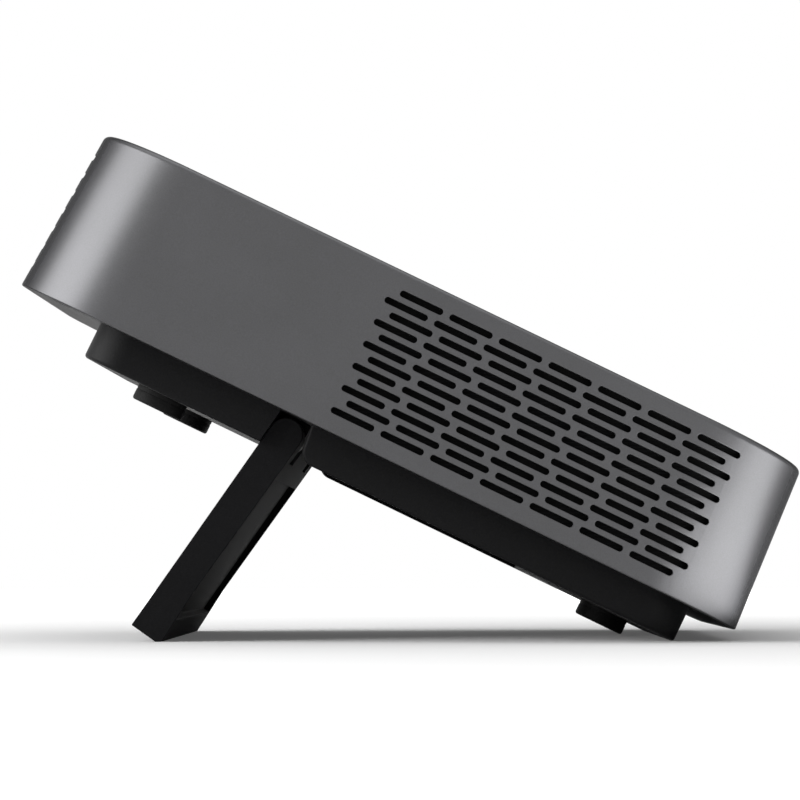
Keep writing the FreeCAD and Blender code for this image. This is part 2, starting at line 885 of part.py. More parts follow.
def outer_shell():
    """Drafted metal shell, open below, with every opening of the casing in it."""
    body = new_body("outer_shell")
    prism(body, "shell_block", "z", "0", "shell_height",
          round_rectangle("front_x", "rear_x", "near_y", "far_y", "shell_corner"),
          taper="-shell_draft")
    rounded(body, "top_edge", "top_round", level_at("shell_height"))
    rounded(body, "rim_edge", "rim_round", level_at("0"))
    prism(body, "cavity", "z", "0", "ceiling",
          round_rectangle("front_x + shell_wall", "rear_x - shell_wall", "near_y + shell_wall",
                          "far_y - shell_wall", "inner_corner"), cut=True, taper="-shell_draft")
    posts = [circle(f"{sx}post_reach_x", f"{sy}post_reach_y", "post_radius")
             for sx in ("", "-") for sy in ("", "-")]
    prism(body, "screw_posts", "z", "floor_top", "ceiling + root", *posts)
    holes = [circle(f"{sx}post_reach_x", f"{sy}post_reach_y", "post_hole")
             for sx in ("", "-") for sy in ("", "-")]
    prism(body, "screw_holes", "z", "floor_top", "floor_top + screw_length + overrun", *holes, cut=True)
    prism(body, "lens_hole", "x", "front_x - overrun", "front_x + wall_cut",
          circle("0", "lens_height", "bezel_radius + bezel_play"), cut=True)
    prism(body, "wheel_slot", "z", "ceiling - root", "shell_height + overrun",
          rectangle("focus_ring_x - wheel_slot_gap", "ring_back + wheel_slot_gap",
                    "-wheel_slot_half", "wheel_slot_half"), cut=True)
    keys = [circle("key_x", key_y(index), "key_radius + key_gap") for index in range(KEYS)]
    prism(body, "key_holes", "z", "ceiling - root", "shell_height + overrun", *keys, cut=True)
    prism(body, "disc_mouth", "y", "far_y - wall_cut", "far_y + overrun",
          rectangle("drive_left - drive_face_gap", "drive_right + drive_face_gap",
                    "drive_floor - drive_face_gap", "drive_top + drive_face_gap"), cut=True)
    prism(body, "socket_mouth", "x", "rear_x - wall_cut", "rear_x + overrun",
          rectangle("panel_near", "panel_far", "panel_bottom", "panel_top"), cut=True)
    speaker_slots(body)
    vent_field(body)
    return keep(body, "outer_shell")


def vent_field(body):
    """Cut the two interleaved sets of vent slots through the near wall."""
    for name, shift, row in (("upper", "0", "0"), ("lower", "vent_stagger", "vent_row_pitch")):
        left = f"vent_start - {shift}"
        cut = prism(body, f"vent_{name}", "y", "near_y - overrun", "near_y + wall_cut",
                    slot(left, f"{left} + vent_slot_length",
                         f"shell_height - vent_drop - {row}", "vent_slot_width"), cut=True)
        grid(body, f"vents_{name}", cut,
             (("X_Axis", "vent_pitch", "vent_columns", False),
              ("Z_Axis", "2 * vent_row_pitch", "vent_pairs", True)))


def speaker_slots(body):
    """Cut the slots on both sides of the lens, which run onto the rounded corners."""
    level = "shell_height - grille_drop"
    cut = prism(body, "grille_pair", "x", "front_x - overrun", "front_x + wall_cut",
                slot("-grille_outer", "-grille_inner", level, "grille_slot_width"),
                slot("grille_inner", "grille_outer", level, "grille_slot_width"), cut=True)
    rows(body, "grille", cut, "Z_Axis", "grille_pitch", "grille_rows", back=True)


def bottom_case():
    """Moulded floor with the plinth, the stand's bay and its hinge lugs."""
    body = new_body("bottom_case")
    inset = "shell_wall + floor_gap + floor_thick * slope"
    prism(body, "floor", "z", "0", "floor_top",
          round_rectangle(f"front_x + {inset}", f"rear_x - ({inset})", f"near_y + {inset}",
                          f"far_y - ({inset})", "inner_corner - floor_gap"))
    prism(body, "plinth", "z", "-plinth_depth", "0",
          round_rectangle("plinth_front", "plinth_rear", "-plinth_side", "plinth_side",
                          "plinth_corner"))
    below = number("-plinth_depth")
    prism(body, "bay", "y", "-bay_half", "bay_half",
          polygon(("stop_top_x", "0"), ("bay_end", "0"), ("bay_end", "-plinth_depth - overrun"),
                  ("stop_low_x", "-plinth_depth - overrun")), cut=True)
    for side, low, high in (("near", "-plinth_side - overrun", "-bay_half + root"),
                            ("far", "bay_half - root", "plinth_side + overrun")):
        prism(body, f"bay_gate_{side}", "y", low, high,
              polygon(("stop_top_x", "0"), ("bay_cut_x", "0"), ("bay_cut_low_x", "-plinth_depth"),
                      ("bay_cut_low_x", "-plinth_depth - overrun"),
                      ("stop_low_x", "-plinth_depth - overrun")), cut=True)
    corner = number("bay_cut_low_x")
    rounded(body, "gate_round", "bay_cut_round",
            lambda edge: span(edge, "y") > 1 and span(edge, "x") < 0.1 and span(edge, "z") < 0.1
            and abs(edge.CenterOfMass.x - corner) < 0.1 and edge.CenterOfMass.z < below + 0.1)
    rounded(body, "plinth_edge", "plinth_round", plinth_outline)
    for name, low, high in (("front", "front_hollow_start", "front_hollow_end"),
                            ("rear", "rear_hollow_start", "rear_hollow_end")):
        prism(body, f"{name}_hollow", "z", "hollow_bottom", "floor_top",
              rectangle(low, high, "-hollow_half_width", "hollow_half_width"), cut=True)
    prism(body, "insert_boss", "z", "hollow_bottom - root", "0",
          circle("insert_x", "0", "insert_radius + insert_wall"))
    prism(body, "insert_hole", "z", "-plinth_depth", "insert_height - plinth_depth",
          circle("insert_x", "0", "insert_radius"), cut=True)
    for side, sign in (("near", "-"), ("far", "")):
        low = f"{sign}lug_middle - lug_width / 2"
        high = f"{sign}lug_middle + lug_width / 2"
        prism(body, f"lug_root_{side}", "y", low, high,
              rectangle("pivot_x - lug_radius", "pivot_x + lug_radius", "-pivot_drop", "root"))
        prism(body, f"lug_{side}", "y", low, high, circle("pivot_x", "-pivot_drop", "lug_radius"))
    prism(body, "lug_holes", "y", "-bay_half", "bay_half",
          circle("pivot_x", "-pivot_drop", "lug_bore"), cut=True)
    prism(body, "foot_holes", "z", "-plinth_depth",
          "foot_spigot_height + seat_gap - plinth_depth",
          circle("front_foot_x", "-front_foot_y", "foot_hole"),
          circle("front_foot_x", "front_foot_y", "foot_hole"),
          circle("rear_foot_x", "0", "foot_hole"), cut=True)
    drive_ribs(body)
    screw_seats(body)
    return keep(body, "bottom_case")


def plinth_outline(edge):
    """Tell whether an edge belongs to the outer outline of the plinth's underside."""
    centre = edge.CenterOfMass
    on_side = abs(abs(centre.y) - number("plinth_side")) < 0.01
    at_front = centre.x < number("plinth_front + plinth_corner")
    at_rear = centre.x > number("plinth_rear - plinth_corner")
    return level_at("-plinth_depth")(edge) and (on_side or at_front or at_rear)


def drive_ribs(body):
    """Raise three ribs across the floor to carry the disc drive."""
    for name, low in (("back", "case_back + rib_inset"), ("middle", "disc_y - rib_thick / 2"),
                      ("front", "case_front - 4 * rib_inset")):
        prism(body, f"drive_rib_{name}", "z", "floor_top - root", "drive_floor",
              rectangle("drive_left + rib_inset", "rear_hollow_start - overrun", low,
                        f"{low} + rib_thick"))


def screw_seats(body):
    """Cut the through holes and head seats of the four case screws."""
    for name, radius, top in (("hole", "post_hole", "floor_top"),
                              ("seat", "screw_head_radius + seat_gap", "screw_head_height + seat_gap")):
        circles = [circle(f"{sx}post_reach_x", f"{sy}post_reach_y", radius)
                   for sx in ("", "-") for sy in ("", "-")]
        prism(body, f"screw_{name}s", "z", "0", top, *circles, cut=True)


def case_screws():
    """Four screws that hold the floor to the posts of the shell."""
    screws = []
    for sx in ("", "-"):
        for sy in ("", "-"):
            name = f"screw_{len(screws) + 1}"
            x, y = f"{sx}post_reach_x", f"{sy}post_reach_y"
            head = rod(name + "_head", "screw_head_radius", (x, y, "seat_gap"), "screw_head_height")
            shank = rod(name + "_shank", "screw_radius", (x, y, "seat_gap"), "floor_top + screw_length")
            recess = rod(name + "_recess", "screw_recess", (x, y, "seat_gap"), "screw_head_height / 2")
            screws.append(without(name, fused(name + "_blank", head, shank), recess))
    return keep(group("case_screws", *screws), "case_screws")


def foot(label, along, across):
    """Round rubber foot with a spigot in the plinth."""
    body = new_body(label)
    turned(body, label + "_turn", "z", polygon(
        ("0", "-foot_height"), ("foot_radius", "-foot_height"), ("foot_radius", "0"),
        ("foot_spigot_radius", "0"), ("foot_spigot_radius", "foot_spigot_height"),
        ("0", "foot_spigot_height")))
    rounded(body, label + "_edge", "foot_round", level_at("-foot_height"))
    return keep(body, label, at(along, across, "-plinth_depth"))


def tripod_insert():
    """Brass insert for a tripod screw, open at the underside of the plinth."""
    body = new_body("tripod_insert")
    turned(body, "insert_turn", "z", polygon(
        ("insert_bore", "0"), ("insert_radius", "0"), ("insert_radius", "insert_height"),
        ("0", "insert_height"), ("0", "insert_height - insert_end"),
        ("insert_bore", "insert_height - insert_end")))
    return keep(body, "tripod_insert", at("insert_x", "0", "-plinth_depth"))


# -------------------------------------------------------------------------- stand

def stand_arm():
    """Full-width arm, drawn hanging from its pivot, with two notches for the lugs."""
    body = new_body("stand_arm")
    half = "arm_width / 2"
    prism(body, "arm", "y", f"-{half}", half, polygon(
        ("-arm_radius", "0"), ("-arm_radius", "-arm_reach"), ("arm_toe", "-arm_reach"),
        ("arm_heel", "toe_flat_x - arm_reach"), ("arm_waist", "-arm_waist_reach"),
        ("arm_radius", "0")))
    prism(body, "knuckle", "y", f"-{half}", half, circle("0", "0", "arm_radius"))
    prism(body, "recess", "x", "arm_waist - recess_depth", "arm_heel + overrun",
          rectangle(f"recess_rim - {half}", f"{half} - recess_rim", "-recess_end",
                    "-recess_start"), cut=True)
    for side, sign in (("near", "-"), ("far", "")):
        prism(body, f"notch_{side}", "y", f"{sign}lug_middle - lug_notch",
              f"{sign}lug_middle + lug_notch",
              rectangle("-arm_radius - overrun", "arm_radius + overrun",
                        "-lug_radius - lug_root_gap", "arm_radius + overrun"), cut=True)
    prism(body, "pin_bore", "y", f"pin_cap - {half}", f"{half} + overrun",
          circle("0", "0", "lug_bore"), cut=True)
    turn = Rotation(Vector(0, 1, 0), number("arm_lean"))
    return keep(body, "stand_arm", at("pivot_x", "0", "-pivot_drop", turn))


def stand_pin():
    """Steel pin through the arm's knuckles and the lugs, pushed in from the disc side."""
    near = "pin_cap + seat_gap - arm_width / 2"
    pin = rod("pin_rod", "pin_radius", ("pivot_x", near, "-pivot_drop"),
              "arm_width - pin_cap - pin_short - seat_gap", "y")
    return keep(group("stand_pin", pin), "stand_pin")


def hinge_washers():
    """Four friction washers beside the lugs."""
    washers = []
    for middle in ("-lug_middle", "lug_middle"):
        for side in (f"{middle} - lug_width / 2 - washer_thick", f"{middle} + lug_width / 2"):
            name = f"washer_{len(washers) + 1}"
            disc = rod(name + "_disc", "washer_radius", ("pivot_x", side, "-pivot_drop"),
                       "washer_thick", "y")
            hole = rod(name + "_hole", "lug_bore", ("pivot_x", side, "-pivot_drop"),
                       "washer_thick", "y")
            washers.append(without(name, disc, hole))
    return keep(group("hinge_washers", *washers), "hinge_washers")


# --------------------------------------------------------------------- disc drive

def drive_case():
    """Folded sheet case of the drive, open towards the disc side."""
    body = new_body("drive_case")
    prism(body, "case_block", "z", "drive_floor", "drive_top",
          rectangle("drive_left", "drive_right", "case_back", "case_front"))
    prism(body, "case_hollow", "y", "case_back + drive_sheet", "case_front",
          rectangle("drive_left + drive_sheet", "drive_right - drive_sheet",
                    "drive_floor + drive_sheet", "drive_top - drive_sheet"), cut=True)
    return keep(body, "drive_case")


def tray_rails():
    """Two sliding rails between the case and the tray."""
    bars = []
    for name, low, high in (("left", "drive_middle - rail_outer", "drive_middle - rail_inner"),
                            ("right", "drive_middle + rail_inner", "drive_middle + rail_outer")):
        bars.append(block(f"rail_{name}", (low, high), ("rail_back", "case_front - rail_end_gap"),
                          ("rail_low", "rail_low + rail_height")))
    return keep(group("tray_rails", *bars), "tray_rails")


def disc_tray():
    """Sliding tray with the disc's well above and room for the mechanism below."""
    body = new_body("disc_tray")
    prism(body, "tray_block", "z", "tray_low", "tray_high",
          rectangle("drive_middle - tray_half", "drive_middle + tray_half", "tray_back",
                    "bezel_back"))
    prism(body, "tray_under", "z", "tray_low", "tray_ceiling",
          rectangle("drive_middle - tray_half + tray_wall", "drive_middle + tray_half - tray_wall",
                    "tray_back + tray_wall", "bezel_back - tray_wall"), cut=True)
    prism(body, "disc_well", "z", "well_floor", "tray_high",
          circle("drive_middle", "disc_y", "well_radius"), cut=True)
    prism(body, "tray_window", "z", "tray_ceiling", "tray_high",
          rectangle("drive_middle - window_half", "drive_middle + window_half",
                    "disc_y - window_rear", "disc_y + window_front"), cut=True)
    return keep(body, "disc_tray")


def tray_bezel():
    """Front of the tray, drafted like the shell, with the eject key's hole and the lamp's."""
    body = new_body("tray_bezel")
    prism(body, "bezel_bar", "x", "drive_left", "drive_right", polygon(
        ("bezel_back", "drive_floor"), ("far_y - bezel_inset - drive_floor * slope", "drive_floor"),
        ("far_y - bezel_inset - drive_top * slope", "drive_top"), ("bezel_back", "drive_top")))
    middle = "(drive_floor + drive_top) / 2"
    prism(body, "bezel_holes", "y", "bezel_back", "far_y",
          rectangle("drive_middle + eject_reach - eject_width / 2",
                    "drive_middle + eject_reach + eject_width / 2",
                    f"{middle} - eject_height / 2", f"{middle} + eject_height / 2"),
          circle("drive_middle + led_reach", middle, "led_radius"), cut=True)
    return keep(body, "tray_bezel")


def eject_key():
    """Small bar key in the tray's bezel."""
    middle = "(drive_floor + drive_top) / 2"
    half = "eject_width / 2 - eject_gap"
    tall = "eject_height / 2 - eject_gap"
    cap = block("eject_cap", (f"drive_middle + eject_reach - ({half})",
                              f"drive_middle + eject_reach + {half}"),
                ("bezel_back + eject_travel + seat_gap", "far_y - drive_top * slope - eject_recess"),
                (f"{middle} - ({tall})", f"{middle} + {tall}"))
    return keep(group("eject_key", cap), "eject_key")


def mechanism_frame():
    """Plate under the tray with the posts and lugs that hold the motor, rods and screw."""
    plate = block("frame_plate_block",
                  ("drive_middle - frame_half", "drive_middle + frame_half"),
                  ("frame_back", "frame_far"), ("plate_low", "plate_high"))
    pieces = [plate]
    for x in ("drive_middle - frame_half + frame_post", "drive_middle + frame_half - frame_post"):
        for y in ("frame_back + frame_post", "frame_far - frame_post"):
            pieces.append(rod(f"frame_post_{len(pieces)}", "frame_post", (x, y, "plate_low"),
                              "tray_ceiling - plate_low"))
    ends = block("frame_back_lug", ("drive_middle - frame_half", "drive_middle + frame_half"),
                 ("frame_back", "frame_back + lug_thick"), ("plate_low", "lug_high"))
    pieces.append(ends)
    for name, x, y, reach in (("left", "drive_middle - guide_reach", "guide_far", "guide_lug_half"),
                              ("right", "drive_middle + guide_reach", "guide_far", "guide_lug_half"),
                              ("lead", "drive_middle + lead_reach", "lead_far", "lead_lug_half")):
        pieces.append(block(f"frame_lug_{name}", (f"{x} - {reach}", f"{x} + {reach}"),
                            (f"{y} - lug_thick", y), ("plate_low", "lug_high")))
    bores = [guide_rod(f"frame_bore_{side}", sign, "guide_radius")
             for side, sign in (("left", "-"), ("right", "+"))]
    bores.append(rod("frame_bore_lead", "lead_radius + guide_clearance",
                     ("drive_middle + lead_reach", "frame_back", "guide_height"),
                     "lead_far - frame_back", "y"))
    slit = block("frame_slit", ("drive_middle - frame_slit_half", "drive_middle + frame_slit_half"),
                 ("frame_back + 2 * frame_post", "disc_y - motor_radius - 2 * frame_post"),
                 ("plate_low", "plate_high"))
    x = "drive_middle + lead_reach"
    reach = "(stepper_radius + frame_gap)"
    motor_window = block("frame_window", (f"{x} - {reach}", f"{x} + {reach}"),
                         ("lead_far + frame_gap", "lead_far + stepper_length + overrun"),
                         ("plate_low", "plate_high"))
    return keep(without("mechanism_frame", fused("frame_blank", *pieces), slit, motor_window, *bores),
                "mechanism_frame")


def guide_rod(name, sign, radius):
    """Return one rod of the sled, from the back lug to the front one."""
    return rod(name, radius, (f"drive_middle {sign} guide_reach", "frame_back", "guide_height"),
               "guide_far - frame_back", "y")


def guide_rods():
    """The two steel rods that the pickup slides on."""
    return keep(group("guide_rods", guide_rod("guide_left", "-", "guide_radius"),
                      guide_rod("guide_right", "+", "guide_radius")), "guide_rods")


def spindle_motor():
    """Flat motor can with a bore for the hub's shaft."""
    can = rod("motor_can", "motor_radius", ("drive_middle", "disc_y", "plate_high"),
              "motor_height")
    bore = rod("motor_bore", "shaft_radius + shaft_clearance",
               ("drive_middle", "disc_y", "plate_high"), "motor_height")
    return keep(without("spindle_motor", can, bore), "spindle_motor")


def spindle_hub():
    """Turntable and centring hub on the motor's shaft."""
    body = new_body("spindle_hub")
    turned(body, "hub_turn", "z", polygon(
        ("0", "-motor_height"), ("shaft_radius", "-motor_height"), ("shaft_radius", "0"),
        ("turntable_radius", "0"), ("turntable_radius", "turntable_thick"),
        ("hub_radius", "turntable_thick"), ("hub_radius", "turntable_thick + hub_height"),
        ("0", "turntable_thick + hub_height")))
    rounded(body, "hub_nose", "hub_round", level_at("turntable_thick + hub_height"))
    return keep(body, "spindle_hub", at("drive_middle", "disc_y", "turntable_low"))


def pickup_sled():
    """Sled of the pickup, on two rods, with an arm that follows the lead screw."""
    near = "sled_y - sled_tail"
    far = "sled_y + sled_nose"
    core = block("sled_core", ("drive_middle - sled_half", "drive_middle + sled_half"),
                 (near, far), ("sled_bottom", "sled_top"))
    tall = ("guide_height - ear_half", "guide_height + ear_half")
    left = block("sled_ear_left",
                 ("drive_middle - guide_reach - ear_reach", "drive_middle - sled_half + overrun"),
                 (near, "sled_y - sled_tail + ear_long"), tall)
    right = block("sled_ear_right",
                  ("drive_middle + sled_half - overrun", "drive_middle + lead_reach + ear_reach"),
                  (near, "sled_y - sled_tail + ear_short"), tall)
    bores = []
    for name, x, radius in (("left", "drive_middle - guide_reach", "guide_radius"),
                            ("right", "drive_middle + guide_reach", "guide_radius"),
                            ("lead", "drive_middle + lead_reach", "lead_radius")):
        bores.append(rod(f"sled_bore_{name}", f"{radius} + guide_clearance",
                         (x, near, "guide_height"), "sled_tail + sled_nose", "y"))
    return keep(without("pickup_sled", fused("sled_blank", core, left, right), *bores),
                "pickup_sled")


def pickup_lens():
    """Lens of the pickup on its sled."""
    glass = rod("pickup_glass", "pickup_radius", ("drive_middle", "sled_y", "sled_top"),
                "pickup_height")
    return keep(group("pickup_lens", glass), "pickup_lens")


def lead_screw():
    """Screw that drives the sled, with the coupling to its motor."""
    x = "drive_middle + lead_reach"
    screw = rod("lead_rod", "lead_radius", (x, "frame_back + lead_back_gap", "guide_height"),
                "lead_far - frame_back + lead_lap", "y")
    return keep(group("lead_screw", screw), "lead_screw")


def sled_motor():
    """Stepper that turns the lead screw."""
    x = "drive_middle + lead_reach"
    start = "lead_far + stepper_gap"
    can = rod("stepper_can", "stepper_radius", (x, start, "guide_height"), "stepper_length", "y")
    bore = rod("stepper_bore", "lead_radius + guide_clearance", (x, start, "guide_height"),
               "stepper_bore_depth", "y")
    wing = block("stepper_wing",
                 (f"{x} - stepper_radius - wing_reach", f"{x} + stepper_radius + wing_reach"),
                 ("lead_far + wing_start", "lead_far + 2 * wing_start"),
                 ("plate_high", "plate_high + wing_thick"))
    return keep(without("sled_motor", fused("stepper_blank", can, wing), bore), "sled_motor")


# ---------------------------------------------------------------- lens and engine

def lens_place(along):
    """Return the placement of a frame on the lens axis."""
    return at(along, "0", "lens_height")


def lens_bezel():
    """Flared ring in the front wall, leaning with the wall's draft."""
    body = new_body("lens_bezel")
    turned(body, "bezel_turn", "x", polygon(
        ("bezel_sink", "bezel_radius"), ("bezel_sink", "bezel_hole + bezel_flare"),
        ("bezel_depth", "bezel_hole"), ("bezel_depth", "bezel_flange"),
        ("shell_wall + seat_gap", "bezel_flange"), ("shell_wall + seat_gap", "bezel_radius")))
    turn = Rotation(Vector(0, 1, 0), number("shell_draft"))
    return keep(body, "lens_bezel", at("wall_lens_x", "0", "lens_height", turn))


def lens_window():
    """Clear window behind the flared ring."""
    body = new_body("lens_window")
    turned(body, "window_turn", "x", rectangle("bezel_depth", "bezel_depth + window_thick", "0",
                                               "window_radius"))
    turn = Rotation(Vector(0, 1, 0), number("shell_draft"))
    return keep(body, "lens_window", at("wall_lens_x", "0", "lens_height", turn))


def engine_housing():
    """Cast box of the light engine with the sleeve that guides the lens."""
    body = new_body("engine_housing")
    prism(body, "engine_block", "z", "deck", "engine_top",
          rectangle("engine_front", "engine_rear", "-engine_half", "engine_half"))
    prism(body, "sleeve", "x", "sleeve_front", "engine_front",
          circle("0", "lens_height", "sleeve_radius"))
    prism(body, "collar", "x", "ring_back + focus_ring_gap", "engine_front",
          circle("0", "lens_height", "sleeve_radius + collar_wall"))
    prism(body, "engine_hollow", "z", "deck + engine_wall", "engine_top",
          rectangle("engine_front + engine_wall", "engine_rear - engine_wall",
                    "engine_wall - engine_half", "engine_half - engine_wall"), cut=True)
    prism(body, "lens_bore_cut", "x", "sleeve_front", "engine_front + engine_wall + seat_gap",
          circle("0", "lens_height", "lens_bore"), cut=True)
    return keep(body, "engine_housing")


def engine_lid():
    """Sheet lid on the light engine."""
    lid = block("engine_lid_sheet", ("engine_front", "engine_rear"), ("-engine_half", "engine_half"),
                ("engine_top", "engine_top + engine_lid"))
    return keep(group("engine_lid", lid), "engine_lid")


def lens_barrel():
    """Tube that holds the glass and slides in the sleeve."""
    body = new_body("lens_barrel")
    outer = "lens_bore - lens_clearance"
    turned(body, "barrel_turn", "x", rectangle("0", "barrel_length", f"{outer} - barrel_wall", outer))
    return keep(body, "lens_barrel", lens_place("barrel_front"))


def lens_glass(label, along, thick, bulge):
    """Glass element seated in the barrel, thicker at its middle."""
    body = new_body(label)
    edge = "lens_bore - lens_clearance - barrel_wall - glass_gap"
    turned(body, label + "_turn", "x", polygon(
        (f"-{bulge}", "0"), (f"-{bulge} * 3 / 4", f"({edge}) / 2"), ("0", edge),
        (thick, edge), (thick, "0")))
    return keep(body, label, lens_place(along))


def focus_ring():
    """Ribbed wheel around the sleeve, whose rim shows through the top."""
    body = new_body("focus_ring")
    turned(body, "wheel_turn", "x", rectangle("0", "focus_ring_width", "sleeve_radius + lens_clearance",
                                              "focus_ring_radius"))
    rib = prism(body, "wheel_rib", "x", "0", "focus_ring_width",
                circle("0", "focus_ring_radius + focus_rib_lift", "focus_rib_depth + focus_rib_lift"),
                cut=True)
    ribs = ring_of(body, "wheel_ribs", rib, "focus_rib_count")
    ribs.Axis = (origin_feature(body, "X_Axis"), [""])
    return keep(body, "focus_ring", lens_place("focus_ring_x"))


def focus_retainer():
    """Snap ring on the sleeve in front of the focus wheel."""
    body = new_body("focus_retainer")
    turned(body, "retainer_turn", "x",
           rectangle("-focus_ring_gap - retainer_thick", "-focus_ring_gap",
                     "sleeve_radius + glass_gap", "sleeve_radius + collar_wall"))
    return keep(body, "focus_retainer", lens_place("focus_ring_x"))


def led_modules():
    """Three light sources round the prism."""
    half = "led_block / 2"
    wall = "(engine_half - engine_wall)"
    tall = ("deck + engine_wall", "deck + engine_wall + led_tall")
    near = block("led_near", ("prism_x", "prism_x + led_block"),
                 (f"-{wall}", f"led_thick - {wall}"), tall)
    far = block("led_far", ("prism_x", "prism_x + led_block"), (f"{wall} - led_thick", wall), tall)
    rear = block("led_rear", ("engine_rear - engine_wall - led_thick", "engine_rear - engine_wall"),
                 (f"-{half}", half), tall)
    return keep(group("led_modules", near, far, rear), "led_modules")


def prism_block():
    """Glass prism on the lens axis."""
    glass = block("prism_glass", ("prism_x", "prism_x + prism_side"),
                  ("-prism_side / 2", "prism_side / 2"),
                  ("deck + engine_wall", "deck + engine_wall + led_tall"))
    return keep(group("prism_block", glass), "prism_block")


def imager_board():
    """Small board with the imaging chip, upright behind the lens."""
    sheet = block("imager_sheet", ("imager_x", "imager_x + imager_thick"),
                  ("-imager_half", "imager_half"), ("deck + engine_wall", "engine_top - overrun"))
    hole = rod("imager_gap", "imager_hole", ("imager_x", "0", "lens_height"), "imager_thick", "x")
    return keep(without("imager_board", sheet, hole), "imager_board")


# -------------------------------------------------------------- chassis and boards

def chassis_plate():
    """Sheet deck over the disc drive, on five legs and notched round the lens."""
    body = new_body("chassis_plate")
    prism(body, "deck_sheet", "z", "chassis_level", "deck",
          round_rectangle("chassis_front", "chassis_rear", "chassis_near", "chassis_far",
                          "chassis_corner"))
    prism(body, "lens_notch", "z", "chassis_level", "deck",
          rectangle("chassis_front - overrun", "engine_front + notch_lap", "-notch_half",
                    "notch_half"), cut=True)
    places = (("leg_front", "leg_near"), ("leg_front", "leg_far"), ("leg_rear", "leg_near"),
              ("leg_rear", "leg_far"), ("leg_middle", "leg_near"))
    legs = [circle(x, y, "leg_radius") for x, y in places]
    prism(body, "deck_legs", "z", "floor_top", "chassis_level + root", *legs)
    return keep(body, "chassis_plate")


def board(label, parts):
    """Circuit board with four screw holes and the parts soldered to it."""
    front, rear, near, far = BOARDS[label]
    sheet = block(label + "_sheet", (front, rear), (near, far), ("board_low", "board_top"))
    holes = [rod(f"{label}_hole_{side}", "board_hole", (x, y, "board_low"), "board_thick")
             for side, x, y in corners_of(front, rear, near, far)]
    return keep(group(label, without(label + "_blank", sheet, *holes), *parts), label)


def corners_of(front, rear, near, far):
    """Return the four screw places of a board, each with a word for it."""
    left, right = f"{front} + hole_inset", f"{rear} - hole_rear_inset"
    low, high = f"{near} + hole_inset", f"{far} - hole_inset"
    return (("a", left, low), ("b", left, high), ("c", right, low), ("d", right, high))


BOARDS = {
    "main_board": ("board_front", "board_rear", "board_near", "board_far"),
    "power_board": ("power_front", "power_rear", "power_near", "power_far"),
}


def board_standoffs():
    """Brass standoffs with screws through the boards."""
    posts = []
    for label, edges in BOARDS.items():
        for side, x, y in corners_of(*edges):
            name = f"standoff_{label}_{side}"
            post = rod(name + "_post", "standoff_radius", (x, y, "deck"), "standoff_height")
            shank = rod(name + "_shank", "board_screw", (x, y, "deck"),
                        "standoff_height + board_thick + root")
            head = rod(name + "_head", "board_screw_head", (x, y, "board_top"), "board_screw_rise")
            posts.append(fused(name, post, shank, head))
    return keep(group("board_standoffs", *posts), "board_standoffs")


# Each chip's place along and across the level frame, its length, width and height.
CHIPS = (
    (36, 12, 16, 16, 2.0),
    (60, 14, 10, 12, 1.4),
    (60, 32, 12, 10, 1.4),
    (34, 38, 18, 8, 3.0),
    (64, 43, 6, 6, 5.0),
)


def main_chips():
    """Main chips and parts on top of the main board."""
    chips = []
    for along, across, wide, deep, tall in CHIPS:
        chips.append(block(f"chip_{len(chips) + 1}", (f"{along}", f"{along} + {wide}"),
                           (f"{across}", f"{across} + {deep}"),
                           ("board_top", f"board_top + {tall}")))
    return keep(group("main_chips", *chips), "main_chips")


# Each coil's name, its place from the power board's corner, its side and its height.
COILS = (("power_coil", 14, 10, 14, 10), ("power_coil_small", 34, 12, 8, 6))


def power_parts():
    """Return the coils and capacitors of the power board."""
    coils = []
    for name, along, across, side, tall in COILS:
        coils.append(block(name, (f"power_front + {along}", f"power_front + {along} + {side}"),
                           (f"power_near + {across}", f"power_near + {across} + {side}"),
                           ("board_top", f"board_top + {tall}")))
    cans = [rod(f"power_can_{index}", "can_radius",
                ("power_front + can_along", f"power_near + can_across + {index} * can_pitch",
                 "board_top"), "can_tall") for index in range(2)]
    return [*coils, *cans]


def wall_x(level, inset="0"):
    """Return the formula of the rear wall's outer face at a level, less an inset."""
    return f"rear_x - ({level}) * slope - ({inset})"


def panel_holes():
    """Return the drawers of the sockets' openings, each a little larger than its socket."""
    play = "socket_play"
    found = []
    for name in ("hdmi", "usb", "inlet"):
        y, wide, tall = f"{name}_y", f"{name}_width / 2", f"{name}_height"
        found.append(rectangle(f"{y} - {wide} - {play}", f"{y} + {wide} + {play}",
                               "board_top - socket_play", f"board_top + {tall} + {play}"))
    found.append(rectangle(f"jack_y - jack_side / 2 - {play}", f"jack_y + jack_side / 2 + {play}",
                           "board_top - socket_play", f"board_top + jack_side + {play}"))
    found.append(circle("ir_y", "panel_top - ir_drop", "ir_radius"))
    return found


def port_panel():
    """Black panel round the sockets, flush in the rear wall."""
    body = new_body("port_panel")
    low, high = "panel_bottom + panel_gap", "panel_top - panel_gap"
    prism(body, "panel_face", "y", "panel_near + panel_gap", "panel_far - panel_gap", polygon(
        (wall_x(low, "panel_sink"), low), (wall_x(high, "panel_sink"), high),
        (wall_x(high, "shell_wall + root"), high), (wall_x(low, "shell_wall + root"), low)))
    low, high = "panel_bottom - panel_flange", "panel_top + panel_flange"
    front = "shell_wall + panel_flange_gap"
    back = f"{front} + panel_flange_thick"
    prism(body, "panel_flange_pad", "y", "panel_near - panel_flange", "panel_far", polygon(
        (wall_x(low, front), low), (wall_x(high, front), high),
        (wall_x(high, back), high), (wall_x(low, back), low)))
    prism(body, "panel_holes", "x", "rear_x - wall_cut", "rear_x", *panel_holes(), cut=True)
    return keep(body, "port_panel")


